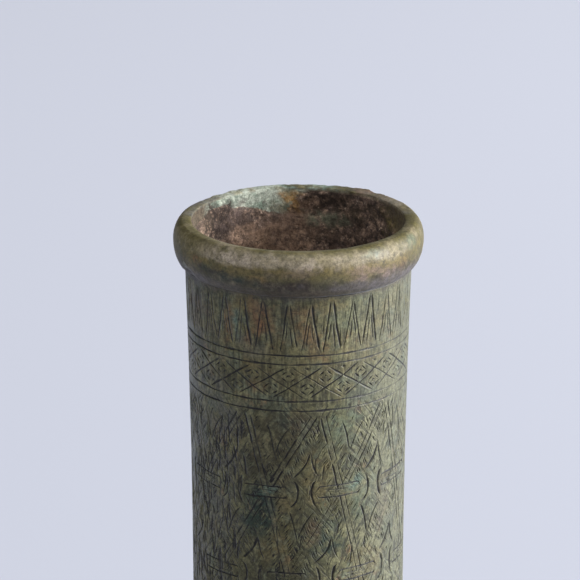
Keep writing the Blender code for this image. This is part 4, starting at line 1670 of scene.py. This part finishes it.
@dataclass(frozen=True)
class BronzePatina:
    """Old bronze: olive patina with placed stains, dirt in the cuts, a painted sheen on the neck's right
    side, a lip that is partly worn and partly a painted highlight, and an earthy mouth.

    Zones are depths below the crest. Waves are a noise's size, detail, roughness and offset, and their reach.
    """

    name: str
    dust: float
    olive: Colour = (0.084, 0.081, 0.036)
    khaki: Colour = (0.135, 0.128, 0.064)
    grey_green: Colour = (0.082, 0.094, 0.060)
    # A painted sheen over the neck's right side.
    right_sheen_grey: Colour = (0.128, 0.136, 0.098)
    strip_pale: Colour = (0.150, 0.146, 0.092)
    soot: Colour = (0.010, 0.0085, 0.008)
    speck: Colour = (0.022, 0.017, 0.012)
    lip_olive: Colour = (0.104, 0.090, 0.034)
    # The lip's pale colour, partly worn metal and partly a painted highlight.
    lip_pale_and_highlight: Colour = (0.222, 0.186, 0.112)
    lip_ochre: Colour = (0.125, 0.094, 0.026)
    lip_dark: Colour = (0.034, 0.027, 0.014)
    lip_under: Colour = (0.070, 0.060, 0.048)
    lip_crest: Colour = (0.088, 0.076, 0.026)
    earth: Colour = (0.360, 0.245, 0.175)
    earth_dark: Colour = (0.090, 0.062, 0.052)
    earth_pale: Colour = (0.620, 0.480, 0.360)
    mauve: Colour = (0.240, 0.180, 0.165)
    bare_brown: Colour = (0.088, 0.064, 0.044)
    bare_tan: Colour = (0.150, 0.118, 0.082)
    verdigris: Colour = (0.185, 0.235, 0.185)
    verdigris_pale: Colour = (0.490, 0.520, 0.430)
    neck_roughness: Place = (0.52, 0.72)
    lip_roughness: Place = (0.50, 0.68)
    earth_roughness: float = 0.95
    gloss: float = 0.42
    dust_roughness: float = 0.35
    dust_tint: Colour = (0.78, 0.84, 1.0)

    khaki_cloud: Cloud = Cloud(11, 5.0, 0.7, 0.0, 0.38, 0.62)
    green_cloud: Cloud = Cloud(8, 5.0, 0.7, 1.3, 0.5, 0.6, 0.0, 0.75)
    umber_cloud: Cloud = Cloud(9, 6.0, 0.75, 2.7, 0.52, 0.7, 0.0, 0.4)
    rust_cloud: Cloud = Cloud(5, 5.0, 0.75, 4.1, 0.57, 0.7, 0.0, 0.5)
    body_cloud: Cloud = Cloud(42, 5.0, 0.6, 35.2, 0.46, 0.6)
    stain_cloud: Cloud = Cloud(2.5, 5.0, 0.75, 6.9, 0.38, 0.56, 0.3, 1.0)
    grain: Cloud = Cloud(1, 4.0, 0.8, 8.8, 0.36, 0.64, 0.6, 1.4)
    specks: Cloud = Cloud(1.5, 3.0, 0.7, 11.5, 0.6, 0.7, 0.0, 0.7)
    grime_cloud: Cloud = Cloud(2.8, 4.0, 0.7, 7.3, 0.34, 0.54, 0.5, 1.0)
    lip_cloud: Cloud = Cloud(6, 4.0, 0.65, 14.6, 0.34, 0.56)
    lip_blots: Cloud = Cloud(4, 5.0, 0.7, 15.1, 0.36, 0.6, 0.3, 1.0)
    lip_spots: Cloud = Cloud(3, 5.0, 0.75, 17.9, 0.56, 0.63, 0.0, 0.6)
    earth_cloud: Cloud = Cloud(1.5, 4.0, 0.75, 9.1, 0.38, 0.64)
    pale_cloud: Cloud = Cloud(0.9, 3.0, 0.7, 3.3, 0.58, 0.7, 0.0, 0.8)
    mauve_cloud: Cloud = Cloud(6, 4.0, 0.7, 5.3, 0.45, 0.62, 0.0, 0.7)
    earth_shade: Cloud = Cloud(4, 4.0, 0.7, 31.7, 0.38, 0.62, 0.5, 1.45)
    verdigris_cloud: Cloud = Cloud(3, 5.0, 0.7, 19.2, 0.4, 0.6)
    verdigris_dirt: Cloud = Cloud(2, 5.0, 0.8, 23.1, 0.53, 0.64, 0.0, 0.8)
    tan_cloud: Cloud = Cloud(3, 4.0, 0.7, 29.3, 0.35, 0.65)
    gloss_cloud: Cloud = Cloud(5, 4.0, 0.65, 6.6, 0.3, 0.7)

    neck_end_zone: Place = (145.0 * MM, 165.0 * MM)
    plain_zone: Place = (144.0 * MM, 154.0 * MM)
    upper_zone: Place = (43.0 * MM, 47.0 * MM)
    lip_crest_zone: Place = (-0.6 * MM, 1.2 * MM)
    ochre_start: Place = (2.8 * MM, 4.6 * MM)
    ochre_end: Place = (6.0 * MM, 8.4 * MM)
    lip_dark_zone: Place = (5.4 * MM, 8.0 * MM)
    lip_under_zone: Place = (8.4 * MM, 10.4 * MM)
    lip_end: Place = (-2.4 * MM, 0.2 * MM)
    lip_end_waves: tuple[float, ...] = (5.0 * MM, 4.0, 0.65, 39.4, 5.0 * MM)
    lip_band_waves: tuple[float, ...] = (9.0 * MM, 4.0, 0.65, 13.7, 6.0 * MM)
    grime_waves: tuple[float, ...] = (0.7 * MM, 2.0, 0.6, 5.9, 0.6)
    grime_span: Place = (0.18, 0.58)
    right_side_span: Place = (0.3, 0.85)
    right_sheen_share: float = 0.4
    strip_share: float = 0.45
    streak_lean: float = 0.8
    right_streak_share: float = 0.6
    upright_streaks: tuple[float, ...] = (0.85 * MM, 3.0, 0.65, 21.4, 0.13)
    left_streaks: tuple[float, ...] = (0.95 * MM, 1.0, 0.4, 25.1, 0.24)
    right_streaks: tuple[float, ...] = (0.95 * MM, 1.0, 0.4, 27.7, 0.24)
    pits: tuple[float, ...] = (1.0 * MM, 4.0, 0.75, 2.2)
    earth_grains: tuple[float, ...] = (1.0 * MM, 5.0, 0.75, 4.4)
    streak_relief: Place = (0.85, 0.35 * MM)
    pit_relief: Place = (0.7, 0.16 * MM)
    earth_relief: Place = (0.9, 0.5 * MM)

    def build(self, shape: PotShape) -> bpy.types.Material:
        """Wires the material.

        Args:
            shape: The pot's sizes, for the places of its zones.

        Returns:
            The material.
        """
        bench = Bench(self.name)
        inside = bench.attribute("inside")
        under_lip = shape.crest - shape.lip_height
        height = bench.math("ADD", bench.along("Z"), bench.swing(*self.lip_end_waves))
        lip = bench.ease(height, under_lip + self.lip_end[0], under_lip + self.lip_end[1])
        fibre = self.fibre(bench, shape)
        skin = bench.mix(lip, self.neck(bench, shape, fibre), self.lip(bench, shape))
        colour = self.stained(bench, bench.mix(inside, skin, self.mouth(bench)))
        bench.feed(bench.shader, {
            "Base Color": self.speckled(bench, colour, lip),
            "Roughness": self.roughness(bench, lip, inside),
            "Specular IOR Level": self.gloss,
            "Sheen Weight": self.dust,
            "Sheen Roughness": self.dust_roughness,
            "Sheen Tint": self.dust_tint,
            "Normal": self.relief(bench, shape, lip, inside, fibre),
        })
        return bench.material

    def fibre(self, bench: Bench, shape: PotShape) -> Socket:
        """Fine streaks of the graver and of wear, which lean like the ticks in the lattice.

        Args:
            bench: The material's bench.
            shape: The pot's sizes.

        Returns:
            The streaks, about 0.5.
        """
        lean = bench.attribute("lean")
        twist = self.streak_lean / shape.waist_radius
        upright = bench.noise(*self.upright_streaks)
        left = bench.noise(*self.left_streaks, twist)
        right = bench.noise(*self.right_streaks, -twist * self.right_streak_share)
        ticks = bench.ease(bench.blend(bench.ease(lean, 0.3, 0.7), left, right), 0.52, 0.6, 0.42, 0.68)
        off_middle = bench.math("ABSOLUTE", bench.math("SUBTRACT", lean, 0.5), 0.0)
        lattice = bench.ease(off_middle, 0.1, 0.4, 0.0, 0.75)
        plain = bench.by_depth(shape.crest, self.plain_zone, 0.0, 0.75)
        return bench.blend(plain, bench.blend(lattice, upright, ticks), 0.5)

    def neck(self, bench: Bench, shape: PotShape, fibre: Socket) -> Socket:
        """Colour of the neck, the belly and the foot.

        Args:
            bench: The material's bench.
            shape: The pot's sizes.
            fibre: The streaks.

        Returns:
            The colour.
        """
        clouds = ((self.khaki_cloud, self.khaki), (self.green_cloud, self.grey_green),
                  (self.umber_cloud, Stain.UMBER.value), (self.rust_cloud, Stain.RUST.value))
        colour = bench.layers(self.olive, *clouds)
        body = bench.by_depth(shape.crest, self.neck_end_zone, 0.0, 0.8)
        colour = bench.mix(bench.times(bench.cloud(self.body_cloud), body), colour, Stain.UMBER.value)
        # A paler, bluer grey over the neck's right side, which the key light strikes: a painted sheen.
        start, end = self.right_side_span
        right_side = bench.ease(bench.along("X"), start * shape.waist_radius, end * shape.waist_radius)
        colour = bench.mix(bench.times(right_side, self.right_sheen_share), colour, self.right_sheen_grey)
        strip = bench.attribute("strip")
        colour = bench.mix(bench.times(strip, self.strip_share), colour, self.strip_pale)
        upper = bench.by_depth(shape.crest, self.upper_zone, 0.8, 0.5)
        calm = bench.math("MAXIMUM", bench.times(right_side, upper), bench.times(strip, 0.7))
        return bench.shaded(colour, bench.ease(bench.blend(calm, fibre, 0.5), 0.35, 0.65, 1.42, 0.42))

    def stained(self, bench: Bench, colour: Socket) -> Socket:
        """Lays the mesh's own stains over a colour, broken up by a fine cloud.

        Args:
            bench: The material's bench.
            colour: The colour below.

        Returns:
            The stained colour.
        """
        stain = bench.node("Attribute", {}, attribute_name="stain").outputs
        share = bench.cloud(self.stain_cloud)
        kept = bench.math("SUBTRACT", 1.0, bench.times(stain["Alpha"], share))
        return bench.mix(1.0, bench.shaded(colour, kept), bench.shaded(stain["Color"], share), "ADD")

    def speckled(self, bench: Bench, colour: Socket, lip: Socket) -> Socket:
        """Lays fine light and dark specks over a colour, fainter on the lip, and the dirt in the cuts.

        Args:
            bench: The material's bench.
            colour: The colour below.
            lip: 1 on the lip and 0 below it.

        Returns:
            The speckled colour.
        """
        colour = bench.shaded(colour, bench.blend(bench.times(lip, 0.2), bench.cloud(self.grain), 1.0))
        specks = bench.times(bench.cloud(self.specks), bench.ease(lip, 0.0, 1.0, 1.0, 0.7))
        colour = bench.mix(specks, colour, self.speck)
        dirt = bench.math("ADD", bench.attribute("soot"), bench.swing(*self.grime_waves))
        grime = bench.times(bench.ease(dirt, *self.grime_span), bench.cloud(self.grime_cloud))
        return bench.mix(grime, colour, self.soot)

    def lip(self, bench: Bench, shape: PotShape) -> Socket:
        """Colour of the lip: pale above, partly worn and partly a painted highlight, a band of ochre, dark
        brown below it, olive underneath.

        Args:
            bench: The material's bench.
            shape: The pot's sizes.

        Returns:
            The colour.
        """
        waves = bench.swing(*self.lip_band_waves)
        depth = bench.math("ADD", bench.math("SUBTRACT", shape.crest, bench.along("Z")), waves)
        colour = bench.layers(self.lip_olive, (self.lip_cloud, self.lip_pale_and_highlight))
        colour = bench.mix(bench.ease(depth, *self.lip_crest_zone, 0.85, 0.0), colour, self.lip_crest)
        start, end = bench.ease(depth, *self.ochre_start), bench.ease(depth, *self.ochre_end, 0.85, 0.0)
        colour = bench.mix(bench.times(start, end), colour, self.lip_ochre)
        dark = bench.ease(depth, *self.lip_dark_zone, 0.0, 0.9)
        colour = bench.mix(bench.times(dark, bench.cloud(self.lip_blots)), colour, self.lip_dark)
        colour = bench.mix(bench.cloud(self.lip_spots), colour, self.lip_dark)
        return bench.mix(bench.ease(depth, *self.lip_under_zone, 0.0, 0.7), colour, self.lip_under)

    def mouth(self, bench: Bench) -> Socket:
        """Colour of the inside: earth, with verdigris and brown bronze where the wall is bare.

        Args:
            bench: The material's bench.

        Returns:
            The colour.
        """
        pale = bench.cloud(self.pale_cloud)
        earth = bench.layers(self.earth_dark, (self.earth_cloud, self.earth))
        earth = bench.mix(pale, earth, self.earth_pale)
        cold = bench.mix(pale, self.earth_dark, self.mauve)
        earth = bench.mix(bench.cloud(self.mauve_cloud), earth, cold)
        earth = bench.shaded(earth, bench.cloud(self.earth_shade))
        green = bench.layers(self.verdigris, (self.verdigris_cloud, self.verdigris_pale),
                             (self.verdigris_dirt, self.earth_dark))
        brown = bench.layers(self.bare_brown, (self.tan_cloud, self.bare_tan))
        wall = bench.mix(bench.attribute("verdigris"), brown, green)
        return bench.mix(bench.ease(bench.attribute("crust"), 0.02, 0.2, 1.0, 0.0), earth, wall)

    def roughness(self, bench: Bench, lip: Socket, inside: Socket) -> Socket:
        """Half dull outside, smoother on the worn lip, and quite dull in the earth.

        Args:
            bench: The material's bench.
            lip: 1 on the lip and 0 below it.
            inside: 1 inside the mouth.

        Returns:
            The roughness.
        """
        cloud = bench.cloud(self.gloss_cloud)
        neck, worn = bench.blend(cloud, *self.neck_roughness), bench.blend(cloud, *self.lip_roughness)
        return bench.blend(inside, bench.blend(lip, neck, worn), self.earth_roughness)

    def relief(self, bench: Bench, shape: PotShape, lip: Socket, inside: Socket, fibre: Socket) -> Socket:
        """Streaks on the neck, fine pits all over, and coarser grains in the earth.

        Args:
            bench: The material's bench.
            shape: The pot's sizes.
            lip: 1 on the lip and 0 below it.
            inside: 1 inside the mouth.
            fibre: The streaks.

        Returns:
            The bumpy normal.
        """
        bare = bench.math("SUBTRACT", 1.0, bench.math("MAXIMUM", lip, inside))
        upper = bench.by_depth(shape.crest, self.upper_zone, 0.6, 1.0)
        streaks = bench.times(bench.math("SUBTRACT", 0.5, fibre), bare, upper)
        normal = bench.bump(streaks, self.streak_relief)
        normal = bench.bump(bench.noise(*self.pits), self.pit_relief, normal)
        return bench.bump(bench.times(bench.noise(*self.earth_grains), inside), self.earth_relief, normal)


@dataclass
class PotMesh:
    """The whole pot as one closed mesh, with a dusty finish below the lip and a handled one elsewhere."""

    shape: PotShape
    sharp_angle: float = 16.0
    finishes: tuple[BronzePatina, ...] = (
        BronzePatina("dusty_bronze", 0.3),
        BronzePatina("handled_bronze", 0.04),
    )

    def build(self) -> bpy.types.Object:
        """Builds and joins the neck and the turned shells, then wears them.

        Returns:
            The pot.
        """
        engraving = Engraving(self.shape, Graver(seed=11))
        parts = TurnedShells(self.shape).build()
        neck = EngravedNeck(self.shape, engraving).build("pitch_pot_bronze")
        deselect_all()
        for part in parts + [neck]:
            part.select_set(True)
        bpy.context.view_layer.objects.active = neck
        bpy.ops.object.join()
        bpy.ops.object.mode_set(mode="EDIT")
        bpy.ops.mesh.select_all(action="SELECT")
        bpy.ops.mesh.remove_doubles(threshold=WELD)
        bpy.ops.mesh.delete_loose()
        bpy.ops.mesh.select_all(action="SELECT")
        bpy.ops.mesh.fill_holes(sides=6)
        bpy.ops.mesh.normals_make_consistent(inside=False)
        bpy.ops.object.mode_set(mode="OBJECT")
        Wear(self.shape).apply(neck)
        neck.data.shade_smooth()
        neck.data.set_sharp_from_angle(angle=math.radians(self.sharp_angle))
        self.report(neck)
        return neck

    def dress(self, pot: bpy.types.Object) -> None:
        """Gives the neck, belly and foot the dusty finish, and the lip and the inside the handled one.

        Args:
            pot: The pot.
        """
        pot.data.materials.clear()
        for finish in self.finishes:
            pot.data.materials.append(finish.build(self.shape))
        inside = pot.data.attributes["inside"].data
        under_lip = self.shape.crest - self.shape.lip_height
        for face in pot.data.polygons:
            handled = face.center.z > under_lip or inside[face.vertices[0]].value > 0.5
            face.material_index = 1 if handled else 0

    @staticmethod
    def report(pot: bpy.types.Object) -> None:
        """Logs the mesh's size and whether it is closed.

        Args:
            pot: The pot.
        """
        bm = bmesh.new()
        bm.from_mesh(pot.data)
        open_edges = sum(1 for edge in bm.edges if len(edge.link_faces) != 2)
        loose = sum(1 for vert in bm.verts if not vert.link_faces)
        triangles = sum(len(face.verts) - 2 for face in bm.faces)
        LOG.info("%s: %d points, %d triangles, %d open edges, %d loose points, volume %.1f cm3",
                 pot.name, len(bm.verts), triangles, open_edges, loose, bm.calc_volume() * 1e6)
        bm.free()


@dataclass(frozen=True)
class SoftLight:
    """A broad square light that faces the pot's mouth.

    It has its power in watts, its side's length, its distance from the mouth, and where it stands, in degrees
    from the front to the right and above the mouth.
    """

    name: str
    power: float
    side: float
    away: float
    turn: float
    rise: float

    def place(self, height: float) -> None:
        """Places the light.

        Args:
            height: Height of the mouth that it faces.
        """
        light = bpy.data.lights.new(self.name, "AREA")
        light.shape = "SQUARE"
        light.size = self.side
        light.energy = self.power
        lamp = bpy.data.objects.new(self.name, light)
        bpy.context.scene.collection.objects.link(lamp)
        turn, rise = math.radians(self.turn), math.radians(self.rise)
        way = Vector((math.sin(turn) * math.cos(rise), -math.cos(turn) * math.cos(rise), math.sin(rise)))
        lamp.location = way * self.away + Vector((0.0, 0.0, height))
        lamp.rotation_euler = (-way).to_track_quat("-Z", "Y").to_euler()


@dataclass
class Studio:
    """A pale floor, painted paler towards the back as a painted brightening for the lights' falloff, soft
    light from the right and the camera of the picture.
    """

    shape: PotShape
    focal_length: float = 229.7
    sensor: float = 36.0
    pitch: float = 18.27
    camera_away: float = 1.0009
    target_across: float = -2.217 * MM
    target_below_crest: float = 20.52 * MM
    floor_colour: Colour = (0.570, 0.595, 0.690)
    # The far floor's paler colour is a painted brightening that makes up for the lights' falloff.
    brightened_far_floor_colour: Colour = (0.655, 0.682, 0.785)
    floor_brightening_span: Place = (0.1, 1.7)
    floor_roughness: float = 0.9
    floor_reach: float = 9.0
    lights: tuple[SoftLight, ...] = (
        SoftLight("key", 900.0, 3.2, 6.0, 89.0, 15.0),
        SoftLight("top", 205.0, 2.8, 6.0, -25.0, 64.0),
    )
    sky_colour: Colour = (0.80, 0.85, 1.0)
    sky_strength: float = 0.04

    def build(self) -> None:
        """Builds the camera, the lights, the sky and the floor."""
        self.place_camera()
        for light in self.lights:
            light.place(self.shape.crest)
        self.lay_floor()
        world = bpy.data.worlds.new("studio")
        world.use_nodes = True
        world.node_tree.nodes["Background"].inputs["Color"].default_value = (*self.sky_colour, 1.0)
        world.node_tree.nodes["Background"].inputs["Strength"].default_value = self.sky_strength
        bpy.context.scene.world = world
        bpy.context.scene.view_settings.view_transform = "Standard"

    def place_camera(self) -> None:
        """The camera looks down on the mouth from the front."""
        lens = bpy.data.cameras.new("camera")
        lens.lens = self.focal_length
        lens.sensor_width = self.sensor
        camera = bpy.data.objects.new("camera", lens)
        bpy.context.scene.collection.objects.link(camera)
        tilt = math.radians(self.pitch)
        target = self.shape.crest - self.target_below_crest
        away = self.camera_away
        camera.location = (self.target_across, -away * math.cos(tilt), target + away * math.sin(tilt))
        camera.rotation_euler = (math.pi / 2.0 - tilt, 0.0, 0.0)
        bpy.context.scene.camera = camera

    def lay_floor(self) -> None:
        """A wide pale floor, which also fills the picture's background, painted paler towards the back where
        the lights fall off.
        """
        deselect_all()
        bpy.ops.mesh.primitive_plane_add(size=2.0 * self.floor_reach, location=(0.0, 0.0, 0.0))
        floor = bpy.context.active_object
        floor.name = "floor"
        bench = Bench("pale_floor")
        far_brightening = bench.ease(bench.along("Y"), *self.floor_brightening_span)
        colour = bench.mix(far_brightening, self.floor_colour, self.brightened_far_floor_colour)
        bench.feed(bench.shader, {"Base Color": colour, "Roughness": self.floor_roughness})
        floor.data.materials.append(bench.material)


def main() -> None:
    """Builds the pot, dresses it and sets the studio round it."""
    logging.basicConfig(level=logging.INFO, format="%(name)s: %(message)s")
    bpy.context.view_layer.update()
    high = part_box("pitch_pot")[1]
    shape = PotShape(crest=high.z, belly_radius=high.x - 0.12 * MM)
    casting = PotMesh(shape)
    pot = casting.build()
    casting.dress(pot)
    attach(pot, "root")
    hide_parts("pitch_pot")
    LOG.info("%s dressed in aged bronze", pot.name)
    Studio(shape).build()


if __name__ == "__main__":
    main()
